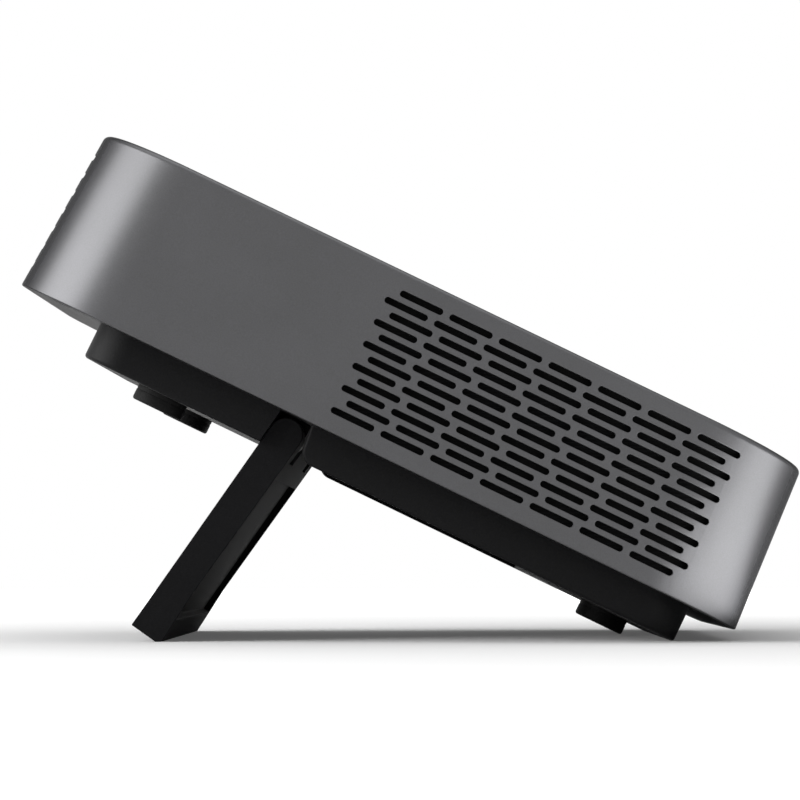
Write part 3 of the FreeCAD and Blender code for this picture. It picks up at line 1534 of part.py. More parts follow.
def socket(label, name):
    """Sheet-metal socket with a tongue, standing on the main board."""
    wide, tall, deep = f"{name}_width / 2", f"{name}_height", f"{name}_depth"
    front = wall_x("panel_top", "socket_inset")
    box = block(label + "_box", (f"{front} - {deep}", front),
                (f"{name}_y - {wide}", f"{name}_y + {wide}"), ("board_top", f"board_top + {tall}"))
    hollow = block(label + "_hollow", (f"{front} - {deep} + socket_back", front),
                   (f"{name}_y - {wide} + socket_sheet", f"{name}_y + {wide} - socket_sheet"),
                   ("board_top + socket_sheet", f"board_top + {tall} - socket_sheet"))
    tongue = block(label + "_tongue", (f"{front} - {deep} + overrun", f"{front} - tongue_setback"),
                   (f"{name}_y - {wide} + tongue_inset", f"{name}_y + {wide} - tongue_inset"),
                   (f"board_top + {tall} - {name}_tongue_drop",
                    f"board_top + {tall} - {name}_tongue_drop + tongue_thick"))
    return keep(fused(label, without(label + "_sleeve", box, hollow), tongue), label)


def audio_jack():
    """Moulded headphone jack."""
    front = wall_x("panel_top", "socket_inset")
    low = "board_top"
    box = block("jack_box", (f"{front} - jack_depth - jack_back", front),
                ("jack_y - jack_side / 2", "jack_y + jack_side / 2"), (low, f"{low} + jack_side"))
    bore = rod("jack_hole", "jack_bore", (f"{front} - jack_depth", "jack_y", f"{low} + jack_side / 2"),
               "jack_depth", "x")
    return keep(without("audio_jack", box, bore), "audio_jack")


def dc_inlet():
    """Moulded power inlet with its centre pin."""
    front = wall_x("panel_top", "socket_inset")
    box = block("inlet_box", (f"{front} - inlet_depth - socket_back", front),
                ("inlet_y - inlet_width / 2", "inlet_y + inlet_width / 2"),
                ("board_top", "board_top + inlet_height"))
    middle = "board_top + inlet_height / 2"
    bore = rod("inlet_hole", "inlet_bore", (f"{front} - inlet_depth", "inlet_y", middle),
               "inlet_depth", "x")
    pin = rod("inlet_centre", "inlet_pin", (f"{front} - inlet_depth - overrun", "inlet_y", middle),
              "inlet_depth - root", "x")
    return keep(fused("dc_inlet", without("inlet_block", box, bore), pin), "dc_inlet")


def ir_window():
    """Small dark window of the remote control's receiver."""
    level = "panel_top - ir_drop"
    disc = rod("ir_disc", "ir_radius - ir_gap", (wall_x(level, "shell_wall + ir_lap"), "ir_y", level),
               "shell_wall + root", "x")
    return keep(group("ir_window", disc), "ir_window")


# ------------------------------------------------------------------------ cooling

def blower_housing():
    """Open-topped housing of the blower, open towards the fins."""
    body = new_body("blower_housing")
    prism(body, "blower_block", "z", "deck", "blower_top - blower_lid",
          rectangle("blower_front", "blower_rear", "blower_near", "blower_far"))
    prism(body, "scroll", "z", "deck + blower_wall", "blower_top - blower_lid",
          circle("blower_mid_x", "blower_mid_y", "rotor_radius + scroll_gap"), cut=True)
    prism(body, "mouth", "z", "deck + blower_wall", "blower_top - blower_lid",
          rectangle("blower_mid_x", "blower_mid_x + rotor_radius + scroll_gap", "blower_near",
                    "blower_mid_y"), cut=True)
    prism(body, "spindle_post", "z", "deck + blower_wall - root", "deck + blower_wall + rotor_post_tall",
          circle("blower_mid_x", "blower_mid_y", "rotor_post"))
    return keep(body, "blower_housing")


def blower_lid():
    """Lid of the blower with its round eye."""
    sheet = block("blower_lid_sheet", ("blower_front", "blower_rear"), ("blower_near", "blower_far"),
                  ("blower_top - blower_lid", "blower_top"))
    eye = rod("blower_eye_cut", "blower_eye", ("blower_mid_x", "blower_mid_y", "blower_top - blower_lid"),
              "blower_lid")
    return keep(without("blower_lid_plate", sheet, eye), "blower_lid")


def blower_rotor():
    """Rotor with a ring of upright blades on a disc."""
    body = new_body("blower_rotor")
    bore = "rotor_post + shaft_clearance"
    turned(body, "rotor_disc", "z", polygon(
        (bore, "0"), ("rotor_radius", "0"), ("rotor_radius", "rotor_disc"),
        ("rotor_hub", "rotor_disc"), ("rotor_hub", "rotor_hub_tall"), ("0", "rotor_hub_tall"),
        ("0", "rotor_bore_depth"), (bore, "rotor_bore_depth")))
    blade = prism(body, "blade", "z", "rotor_disc / 2", "rotor_height",
                  rectangle("rotor_radius - blade_length", "rotor_radius", "-blade_thick / 2",
                            "blade_thick / 2"))
    blades = ring_of(body, "blades", blade, "blade_count")
    blades.Axis = (origin_feature(body, "Z_Axis"), [""])
    return keep(body, "blower_rotor",
                at("blower_mid_x", "blower_mid_y", "deck + blower_wall + rotor_gap"))


def heat_sink():
    """Base with upright fins behind the vents, bored for the heat pipe."""
    body = new_body("heat_sink")
    prism(body, "sink_base_pad", "z", "deck", "deck + sink_base",
          rectangle("sink_front", "sink_rear", "sink_near", "sink_far"))
    fin = prism(body, "fin", "x", "sink_front", "sink_front + fin_thick",
                rectangle("sink_near", "sink_far", "deck + sink_base - root", "sink_top"))
    rows(body, "fins", fin, "X_Axis", "fin_pitch", "fin_count")
    prism(body, "pipe_bore", "x", "sink_front", "sink_rear",
          circle("pipe_y", "pipe_height", "pipe_radius + pipe_clearance"), cut=True)
    return keep(body, "heat_sink")


def heat_pipe():
    """Bent copper pipe from the fins to the light engine."""
    body = new_body("heat_pipe")
    route = new_sketch(body, "pipe_route", "XY_Plane", "pipe_height")
    turn = number("pipe_bend")
    start = Vector(number("sink_rear"), number("pipe_y"), 0)
    near = Vector(number("pipe_x") + turn, start.y, 0)
    bent = Vector(number("pipe_x"), start.y + turn, 0)
    end = Vector(bent.x, number("-engine_half"), 0)
    straight = route.addGeometry(Part.LineSegment(start, near))
    middle = Vector(near.x, bent.y, 0)
    bend = route.addGeometry(
        Part.ArcOfCircle(Part.Circle(middle, Vector(0, 0, 1), turn), 2 * QUARTER, 3 * QUARTER)
    )
    last = route.addGeometry(Part.LineSegment(bent, end))
    route.addConstraint(Sketcher.Constraint("Tangent", straight, 2, bend, 2))
    route.addConstraint(Sketcher.Constraint("Tangent", bend, 1, last, 1))
    hold_point(route, straight, 1, ("sink_rear", "pipe_y"))
    hold_point(route, bend, 3, ("pipe_x + pipe_bend", "pipe_y + pipe_bend"))
    hold_point(route, last, 2, ("pipe_x", "-engine_half"))
    profile = new_sketch(body, "pipe_ring", "YZ_Plane", "sink_rear")
    circle("pipe_y", "pipe_height", "pipe_radius")(profile)
    pipe = body.newObject("PartDesign::AdditivePipe", "pipe_sweep")
    pipe.Profile = profile
    pipe.Spine = (route, ["Edge1", "Edge2", "Edge3"])
    return keep(body, "heat_pipe")


# ----------------------------------------------------------------------- speakers

def speaker_box(label, sign):
    """Return a closed speaker box with a round mouth towards the lens end."""
    low, high = ("speaker_near", "speaker_far") if sign > 0 else ("-speaker_far", "-speaker_near")
    middle = f"({low} + {high}) / 2"
    level = "(floor_top + speaker_top) / 2"
    box = block(label + "_box", ("speaker_front", "speaker_rear"), (low, high),
                ("floor_top", "speaker_top"))
    hollow = block(label + "_hollow", ("speaker_front + speaker_wall", "speaker_rear - speaker_wall"),
                   (f"{low} + speaker_wall", f"{high} - speaker_wall"),
                   ("floor_top + speaker_wall", "speaker_top - speaker_wall"))
    mouth = rod(label + "_mouth", "cone_radius", ("speaker_front", middle, level),
                "speaker_wall + seat_gap", "x")
    return without(label, box, hollow, mouth)


def speaker_boxes():
    """The two speaker boxes beside the lens."""
    return keep(group("speaker_boxes", speaker_box("box_near", -1), speaker_box("box_far", 1)),
                "speaker_boxes")


def speaker_cones():
    """The two drivers, each a cone on its magnet."""
    drivers = []
    level = "(floor_top + speaker_top) / 2"
    for name, sign in (("near", "-"), ("far", "")):
        middle = f"{sign}(speaker_near + speaker_far) / 2"
        base = "speaker_front + speaker_wall"
        basket = rod(f"basket_{name}", "cone_radius + cone_flange", (base, middle, level),
                     "cone_depth", "x")
        magnet = rod(f"magnet_{name}", "magnet_radius", (base, middle, level),
                     "cone_depth + magnet_depth", "x")
        dish = DOC.addObject("Part::Cone", f"dish_{name}")
        dish.Placement = Placement(Vector(), TURNS["x"])
        bind(dish, Radius1="cone_radius - cone_rim", Radius2="cone_throat",
             Height="cone_depth - cone_back")
        for side, formula in zip("xyz", (base, middle, level)):
            dish.setExpression(f"Placement.Base.{side}", linked(formula))
        drivers.append(without(f"driver_{name}", fused(f"driver_blank_{name}", basket, magnet), dish))
    return keep(group("speaker_cones", *drivers), "speaker_cones")


# --------------------------------------------------------------------------- keys

KEYS = SIZES["key_count"]
KEY_LABELS = ("power_key", "previous_key", "play_key", "next_key", "source_key")


def key_y(index):
    """Return the formula of a key's place across the top."""
    return f"({index} - (key_count - 1) / 2) * key_pitch"


def key(label, index):
    """Round key with a flange under the shell's top."""
    body = new_body(label)
    turned(body, label + "_turn", "z", polygon(
        ("0", "0"), ("key_radius + key_flange", "0"), ("key_radius + key_flange", "key_flange_thick"),
        ("key_radius", "key_flange_thick"), ("key_radius", "shell_height - key_recess - key_low"),
        ("0", "shell_height - key_recess - key_low")))
    rounded(body, label + "_rim", "key_round", level_at("shell_height - key_recess - key_low"))
    return keep(body, label, at("key_x", key_y(index), "key_low"))


def key_frame():
    """Frame under the top that holds the key board."""
    tray = block("key_frame_block", ("key_x - key_half", "key_x + key_half"),
                 ("-key_span", "key_span"), ("key_frame_low", "ceiling"))
    hollow = block("key_frame_hollow",
                   ("key_x - key_half + key_frame_wall", "key_x + key_half - key_frame_wall"),
                   ("key_frame_wall - key_span", "key_span - key_frame_wall"),
                   ("key_board_low", "ceiling"))
    return keep(without("key_frame", tray, hollow), "key_frame")


def key_board():
    """Board under the keys, with a dome switch under each key."""
    wide = "key_half - key_frame_wall - seat_gap"
    deep = "key_span - key_frame_wall - seat_gap"
    sheet = block("key_board_sheet",
                  (f"key_x - ({wide})", f"key_x + {wide}"), (f"-({deep})", deep),
                  ("key_board_low", "key_board_top"))
    domes = [rod(f"dome_{index}", "switch_radius", ("key_x", key_y(index), "key_board_top"),
                 "switch_top - key_board_top") for index in range(KEYS)]
    return keep(group("key_board", sheet, *domes), "key_board")


# ------------------------------------------------------------------------- assembly

def build_all():
    """Build every sub-part in the level frame."""
    outer_shell()
    bottom_case()
    case_screws()
    foot("front_foot_near", "front_foot_x", "-front_foot_y")
    foot("front_foot_far", "front_foot_x", "front_foot_y")
    foot("rear_foot", "rear_foot_x", "0")
    tripod_insert()
    stand_arm()
    stand_pin()
    hinge_washers()
    drive_case()
    tray_rails()
    disc_tray()
    tray_bezel()
    eject_key()
    mechanism_frame()
    guide_rods()
    spindle_motor()
    spindle_hub()
    pickup_sled()
    pickup_lens()
    lead_screw()
    sled_motor()
    lens_bezel()
    lens_window()
    engine_housing()
    engine_lid()
    lens_barrel()
    lens_glass("front_lens", "barrel_front + front_seat", "front_glass", "front_bulge")
    lens_glass("rear_lens", "barrel_front + rear_seat", "rear_glass", "rear_bulge")
    focus_ring()
    focus_retainer()
    led_modules()
    prism_block()
    imager_board()
    chassis_plate()
    board("main_board", [])
    board("power_board", power_parts())
    board_standoffs()
    main_chips()
    port_panel()
    socket("hdmi_socket", "hdmi")
    socket("usb_socket", "usb")
    audio_jack()
    dc_inlet()
    ir_window()
    blower_housing()
    blower_lid()
    blower_rotor()
    heat_sink()
    heat_pipe()
    speaker_boxes()
    speaker_cones()
    for index, label in enumerate(KEY_LABELS):
        key(label, index)
    key_frame()
    key_board()


def stand_up():
    """Tip the level set onto its stand and put the origin under the middle of its box."""
    tip = Placement(Vector(), Rotation(Vector(0, 1, 0), number("stand_tilt")))
    for item, place in SUBPARTS:
        item.Placement = tip.multiply(place)
    box = FreeCAD.BoundBox()
    for item, place in SUBPARTS:
        box.add(item.Shape.optimalBoundingBox(False))
    move = Placement(Vector(-box.Center.x, -box.Center.y, -box.ZMin), Rotation())
    for item, place in SUBPARTS:
        item.Placement = move.multiply(item.Placement)


def check_all():
    """Stop at any failed object, empty or invalid shape, or a cut that removes nothing."""
    for item in DOC.Objects:
        if "Invalid" in item.State or "Error" in item.State:
            raise RuntimeError(f"{item.Label}: {item.State}")
        if item.TypeId in ("PartDesign::Pocket", "PartDesign::Groove"):
            if item.Shape.Volume >= item.BaseFeature.Shape.Volume - 1e-6:
                raise RuntimeError(f"{item.Label} cuts nothing")
    for item, place in SUBPARTS:
        if item.Shape.isNull() or not item.Shape.isValid() or not item.Shape.Solids:
            raise RuntimeError(f"{item.Label}: no valid solid")


def write_all():
    """Write one STEP file for each sub-part."""
    os.makedirs("parts", exist_ok=True)
    for item, place in SUBPARTS:
        item.Shape.exportStep(f"parts/{item.Label}.step")


fill_sheets()
build_all()
DOC.recompute()
check_all()
stand_up()
write_all()
print(f"{len(SUBPARTS)} sub-parts, tilt {number('stand_tilt'):.2f} degrees")
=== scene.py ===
"""Portable disc projector on its fold-out stand: visible pieces, finishes and studio.

Sizes are in millimetres of the level frame, in which the casing lies flat: X from the
lens end to the socket end, Y from the vented side to the disc side, Z up from the rim
of the shell. A finished piece is tipped with the casing and scaled to metres.
"""

from __future__ import annotations

import logging
import math
import sys
from collections.abc import Callable, Iterable, Iterator
from contextlib import contextmanager
from dataclasses import dataclass, field
from enum import Enum

import bmesh
import bpy
from mathutils import Matrix, Vector

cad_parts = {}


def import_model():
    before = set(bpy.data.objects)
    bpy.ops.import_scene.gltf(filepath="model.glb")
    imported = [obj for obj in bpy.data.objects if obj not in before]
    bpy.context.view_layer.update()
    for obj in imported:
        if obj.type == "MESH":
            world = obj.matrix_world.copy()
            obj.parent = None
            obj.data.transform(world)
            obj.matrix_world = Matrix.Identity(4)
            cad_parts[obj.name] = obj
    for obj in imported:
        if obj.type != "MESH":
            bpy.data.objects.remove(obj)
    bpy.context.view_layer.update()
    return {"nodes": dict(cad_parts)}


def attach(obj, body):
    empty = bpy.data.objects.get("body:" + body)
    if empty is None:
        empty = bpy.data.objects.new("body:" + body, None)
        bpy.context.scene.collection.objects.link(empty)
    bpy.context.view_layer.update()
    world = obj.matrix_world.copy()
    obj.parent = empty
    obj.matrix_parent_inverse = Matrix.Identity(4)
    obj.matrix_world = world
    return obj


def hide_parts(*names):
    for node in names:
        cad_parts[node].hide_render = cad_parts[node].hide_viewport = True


log = logging.getLogger("projector")

MM = 0.001
WHITE = (1.0, 1.0, 1.0, 1.0)

# How the casing leans on its stand: its turn about Y and where its own origin lies then.
TILT = math.radians(25.893857)
LEVEL_ORIGIN = (-9.264, 0.0, 50.8315)

# The casing's sides lean in with the press tool's draft, by this much for each unit up.
DRAFT = math.radians(2.9)
SLOPE = math.tan(DRAFT)

# Places that more than one sub-assembly keeps to: the lens axis and the row of keys.
LENS_HEIGHT = 26.5
KEY_X = -40.0
KEY_PITCH = 15.0

# How near, in millimetres, points are merged on a turned piece and on a node's copy, and
# the greatest angle between triangles of one flat.
LATHE_WELD = 0.002
NODE_WELD = 0.005
FLAT_ANGLE = math.radians(0.5)

# A point in metres from which no two corners of a piece are equally far.
SORT_FROM = (1.0, 2.0, 3.0)

Point = tuple[float, float, float]
Spot = tuple[float, float]
Colour = tuple[float, float, float, float]
Test = Callable[[bmesh.types.BMVert | bmesh.types.BMEdge | bmesh.types.BMFace], bool]


class Axis(Enum):
    """An axis of the level frame, with the turn that lays a piece's own Z along it."""

    X = (0.0, math.pi / 2, 0.0)
    Y = (-math.pi / 2, 0.0, 0.0)
    Z = (0.0, 0.0, 0.0)


def metres(point: Iterable[float]) -> Vector:
    """Return a point given in millimetres as a vector in metres."""
    return Vector(tuple(value * MM for value in point))


def level_to_row() -> Matrix:
    """Return the matrix that tips a level piece, in metres, onto the stand."""
    return Matrix.Translation(metres(LEVEL_ORIGIN)) @ Matrix.Rotation(TILT, 4, "Y")


# ---------------------------------------------------------------------------
# Workbench
# ---------------------------------------------------------------------------


class Workpiece:
    """One mesh on the bench, shaped with edit-mode tools and modifiers."""

    def __init__(self, name: str, obj: bpy.types.Object) -> None:
        """Take a mesh object onto the bench.

        Args:
            name: The finished piece's name.
            obj: The mesh object to shape.
        """
        self.obj = obj
        obj.name = name
        obj.data.name = name

    @staticmethod
    def clear() -> None:
        """Leave edit mode and deselect everything."""
        if bpy.context.object and bpy.context.object.mode != "OBJECT":
            bpy.ops.object.mode_set(mode="OBJECT")
        bpy.ops.object.select_all(action="DESELECT")

    def grip(self) -> None:
        """Make this piece the one that is selected and active, outside edit mode."""
        self.clear()
        self.obj.select_set(True)
        bpy.context.view_layer.objects.active = self.obj

    @classmethod
    def block(cls, name: str, low: Point, high: Point) -> Workpiece:
        """Add a cube between two corners.

        Args:
            name: The piece's name.
            low: Its lowest corner in millimetres.
            high: Its highest corner in millimetres.

        Returns:
            The new workpiece.
        """
        cls.clear()
        middle = metres((a + b) / 2 for a, b in zip(low, high))
        bpy.ops.mesh.primitive_cube_add(size=1, location=middle)
        piece = cls(name, bpy.context.object)
        piece.obj.scale = metres(b - a for a, b in zip(low, high))
        piece.settle()
        return piece

    @classmethod
    def drum(cls, name: str, start: Point, radius: float, length: float,
             axis: Axis = Axis.Z, sides: int = 48) -> Workpiece:
        """Add a cylinder that runs from a point along an axis.

        Args:
            name: The piece's name.
            start: The middle of its first end in millimetres.
            radius: Its radius in millimetres.
            length: Its length in millimetres.
            axis: The axis it runs along.
            sides: How many flat sides stand for the curve.

        Returns:
            The new workpiece.
        """
        cls.clear()
        step = {Axis.X: (length / 2, 0, 0), Axis.Y: (0, length / 2, 0), Axis.Z: (0, 0, length / 2)}
        middle = metres(a + b for a, b in zip(start, step[axis]))
        bpy.ops.mesh.primitive_cylinder_add(vertices=sides, radius=radius * MM,
                                            depth=length * MM, location=middle,
                                            rotation=axis.value)
        piece = cls(name, bpy.context.object)
        piece.settle()
        return piece

    @classmethod
    def path(cls, name: str, places: Iterable[Point]) -> Workpiece:
        """Shrink a plane to one vertex and extrude it from point to point.

        Args:
            name: The piece's name.
            places: The path's points in millimetres.

        Returns:
            The new workpiece, which has edges only.
        """
        cls.clear()
        points = [metres(place) for place in places]
        bpy.ops.mesh.primitive_plane_add(size=MM, location=(0, 0, 0))
        piece = cls(name, bpy.context.object)
        with piece.editing("VERT"):
            bpy.ops.mesh.merge(type="CENTER")
            bpy.ops.transform.translate(value=points[0])
            for before, after in zip(points, points[1:]):
                bpy.ops.mesh.extrude_region_move(
                    TRANSFORM_OT_translate={"value": after - before})
        return piece

    @classmethod
    def lathe(cls, name: str, outline: Iterable[Spot], place: Point = (0, 0, 0),
              axis: Axis = Axis.Z, steps: int = 64) -> Workpiece:
        """Draw half an outline point by point and spin it round its axis.

        Args:
            name: The piece's name.
            outline: The outline's (radius, height) points in millimetres.
            place: Where the axis starts in millimetres.
            axis: The axis to lay the turned piece along.
            steps: How many steps the full turn has.

        Returns:
            The new workpiece.
        """
        piece = cls.path(name, [(radius, 0, height) for radius, height in outline])
        with piece.editing("VERT"):
            bpy.ops.mesh.spin(steps=steps, angle=2 * math.pi, center=(0, 0, 0), axis=(0, 0, 1))
            bpy.ops.mesh.select_all(action="SELECT")
            bpy.ops.mesh.remove_doubles(threshold=LATHE_WELD * MM)
            bpy.ops.mesh.normals_make_consistent(inside=False)
        piece.obj.rotation_euler = axis.value
        piece.obj.location = metres(place)
        piece.settle()
        return piece

    @classmethod
    def copy_of(cls, name: str, source: bpy.types.Object) -> Workpiece:
        """Copy a CAD node, join its loose triangles and clear the seams on its flats.

        Args:
            name: The piece's name.
            source: The node's object.

        Returns:
            The new workpiece, already tipped and in place.
        """
        cls.clear()
        twin = bpy.data.objects.new(name, source.data.copy())
        bpy.context.collection.objects.link(twin)
        piece = cls(name, twin)
        with piece.editing():
            bpy.ops.mesh.remove_doubles(threshold=NODE_WELD * MM)
            bpy.ops.mesh.dissolve_limited(angle_limit=FLAT_ANGLE)
        return piece

    @contextmanager
    def editing(self, mode: str = "FACE", wanted: Test | None = None) -> Iterator[None]:
        """Hold the piece in edit mode with some of its elements selected.

        Args:
            mode: Which elements the tools select: VERT, EDGE or FACE.
            wanted: Tells whether an element is selected; without it, all are.

        Yields:
            Nothing; the piece is in edit mode meanwhile.
        """
        self.grip()
        bpy.ops.object.mode_set(mode="EDIT")
        bpy.ops.mesh.select_mode(type=mode)
        bpy.ops.mesh.select_all(action="DESELECT" if wanted else "SELECT")
        if wanted:
            mesh = bmesh.from_edit_mesh(self.obj.data)
            for element in {"VERT": mesh.verts, "EDGE": mesh.edges, "FACE": mesh.faces}[mode]:
                element.select_set(wanted(element))
            mesh.select_flush_mode()
            bmesh.update_edit_mesh(self.obj.data)
        yield
        bpy.ops.object.mode_set(mode="OBJECT")

    def settle(self) -> Workpiece:
        """Apply the piece's place, turn and scale to its mesh.

        Returns:
            The workpiece.
        """
        self.grip()
        bpy.ops.object.transform_apply(location=True, rotation=True, scale=True)
        return self

    def bevel_edges(self, wanted: Test, width: float, segments: int,
                    clamp: bool = True) -> Workpiece:
        """Round the edges that a test accepts.

        Args:
            wanted: Tells whether an edge is to be rounded.
            width: The radius in millimetres.
            segments: How many strips stand for the round.
            clamp: Whether short edges nearby hold the radius back.

        Returns:
            The workpiece.
        """
        with self.editing("EDGE", wanted):
            bpy.ops.mesh.bevel(offset=width * MM, segments=segments, affect="EDGES",
                               clamp_overlap=clamp)
        return self

    def modify(self, kind: str, **settings: object) -> Workpiece:
        """Add a modifier with its settings and apply it.

        Args:
            kind: The modifier's type.
            **settings: Its properties.

        Returns:
            The workpiece.
        """
        self.grip()
        modifier = self.obj.modifiers.new(kind.title(), kind)
        for name, value in settings.items():
            setattr(modifier, name, value)
        bpy.ops.object.modifier_apply(modifier=modifier.name)
        return self

    def cut(self, tool: Workpiece, operation: str = "DIFFERENCE") -> Workpiece:
        """Cut, unite or intersect the piece with a tool, and drop the tool.

        Args:
            tool: The workpiece that cuts or is added.
            operation: DIFFERENCE, UNION or INTERSECT.

        Returns:
            The workpiece.
        """
        self.modify("BOOLEAN", object=tool.obj, operation=operation, solver="EXACT")
        bpy.data.objects.remove(tool.obj)
        return self

    def join(self, others: Iterable[Workpiece]) -> Workpiece:
        """Make other workpieces part of this one.

        Args:
            others: The workpieces to take in.

        Returns:
            The workpiece.
        """
        others = list(others)
        if others:
            self.grip()
            for other in others:
                other.obj.select_set(True)
            bpy.ops.object.join()
        return self

    def put_in_order(self) -> None:
        """Sort the mesh by distance from a far point, so that it is rounded alike each run."""
        bpy.context.scene.cursor.location = SORT_FROM
        with self.editing("VERT"):
            bpy.ops.mesh.sort_elements(type="CURSOR_DISTANCE", elements={"VERT", "EDGE", "FACE"})

    def twin(self, move: Matrix) -> Workpiece:
        """Return a copy of the piece, moved by a matrix.

        Args:
            move: The matrix that the copy's mesh is moved by.

        Returns:
            The copy.
        """
        copy = bpy.data.objects.new(self.obj.name, self.obj.data.copy())
        copy.data.transform(move)
        bpy.context.collection.objects.link(copy)
        return Workpiece(f"{self.obj.name}_copy", copy)

    def repeated(self, steps: Iterable[Point]) -> Workpiece:
        """Copy the piece to further places and join the copies to it.

        Args:
            steps: Each copy's move from the first, in millimetres.

        Returns:
            The workpiece.
        """
        return self.join([self.twin(Matrix.Translation(metres(step))) for step in steps])

    def soften(self, width: float, segments: int = 2, angle: float = 40.0) -> Workpiece:
        """Round every edge sharper than an angle.

        Args:
            width: The radius in millimetres.
            segments: How many strips stand for the round.
            angle: The least angle, in degrees, between the faces of a sharp edge.

        Returns:
            The workpiece.
        """
        return self.modify("BEVEL", width=width * MM, segments=segments, limit_method="ANGLE",
                           angle_limit=math.radians(angle), use_clamp_overlap=True)

    def finish(self, surface: Surface, body: str, slot: str, *nodes: str, tipped: bool = True,
               angle: float = 35.0) -> bpy.types.Object:
        """Smooth, tip, dress and hand over the piece.

        Args:
            surface: The material that it gets.
            body: The moving body that it rides on.
            slot: The material slot of the record; not used.
            *nodes: The CAD nodes that it stands for.
            tipped: Whether it was drawn level and has yet to be tipped.
            angle: The greatest angle, in degrees, that is shaded smooth.

        Returns:
            The finished object.
        """
        if tipped:
            self.obj.data.transform(level_to_row())
        self.grip()
        bpy.ops.object.shade_smooth_by_angle(angle=math.radians(angle))
        self.modify("WEIGHTED_NORMAL", keep_sharp=True, weight=50)
        self.obj.data.materials.clear()
        self.obj.data.materials.append(surface.material())
        if nodes:
            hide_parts(*nodes)
        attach(self.obj, body)
        log.info("%s: %d faces on %s", self.obj.name, len(self.obj.data.polygons), body)
        return self.obj


# ---------------------------------------------------------------------------
# Finishes
# ---------------------------------------------------------------------------


def linear(hex_colour: str) -> Colour:
    """Turn an sRGB hex colour into linear values.

    Args:
        hex_colour: The colour as #rrggbb.

    Returns:
        Linear red, green and blue, and 1 for alpha.
    """
    def channel(value: float) -> float:
        """Return one linear channel."""
        return value / 12.92 if value <= 0.04045 else ((value + 0.055) / 1.055) ** 2.4

    red, green, blue = (channel(int(hex_colour[i:i + 2], 16) / 255) for i in (1, 3, 5))
    return red, green, blue, 1.0


class Graph:
    """The node tree of one material or world."""

    def __init__(self, owner: bpy.types.Material | bpy.types.World) -> None:
        """Start a tree with only its output node.

        Args:
            owner: The material or world that the tree belongs to.
        """
        self.owner = owner
        owner.use_nodes = True
        self.tree = owner.node_tree
        self.tree.nodes.clear()
        kind = "World" if isinstance(owner, bpy.types.World) else "Material"
        self.output = self.tree.nodes.new("ShaderNodeOutput" + kind)

    def add(self, kind: str, links: dict[str | int, bpy.types.NodeSocket] | None = None,
            values: dict[str | int, object] | None = None,
            **settings: object) -> bpy.types.Node:
        """Add a node with its links, socket values and settings.

        Args:
            kind: The node's type, without its ShaderNode prefix.
            links: The sockets to feed, by input name or number.
            values: Constants to set, by input name or number.
            **settings: The node's own properties.

        Returns:
            The new node.
        """
        node = self.tree.nodes.new("ShaderNode" + kind)
        for name, value in settings.items():
            setattr(node, name, value)
        for key, value in (values or {}).items():
            node.inputs[key].default_value = value
        for key, socket in (links or {}).items():
            self.tree.links.new(socket, node.inputs[key])
        return node

    def close(self, surface: bpy.types.NodeSocket) -> bpy.types.Material | bpy.types.World:
        """Join a shader to the output and return the tree's owner."""
        self.tree.links.new(surface, self.output.inputs["Surface"])
        return self.owner


# The size of the broad patches in which every finish changes its colour a little.
PATCH_MM = 24
# Divides a wave texture's scale, so that a thread and its gap are about one grain each.
WAVE_DIVISOR = 6.28


class Grain(Enum):
    """How a surface was made, which sets the pattern that its bump follows."""

    SPRAYED = "sprayed"
    MOULDED = "moulded"
    BRUSHED = "brushed"
    CAST = "cast"
    WOVEN = "woven"


class Surface:
    """Anything that dresses a piece with one material of its own name."""

    name: str

    def build(self) -> bpy.types.Material:
        """Build the material; each kind of surface says how."""
        raise NotImplementedError

    def material(self) -> bpy.types.Material:
        """Return the surface's material, made on its first use."""
        return bpy.data.materials.get(self.name) or self.build()


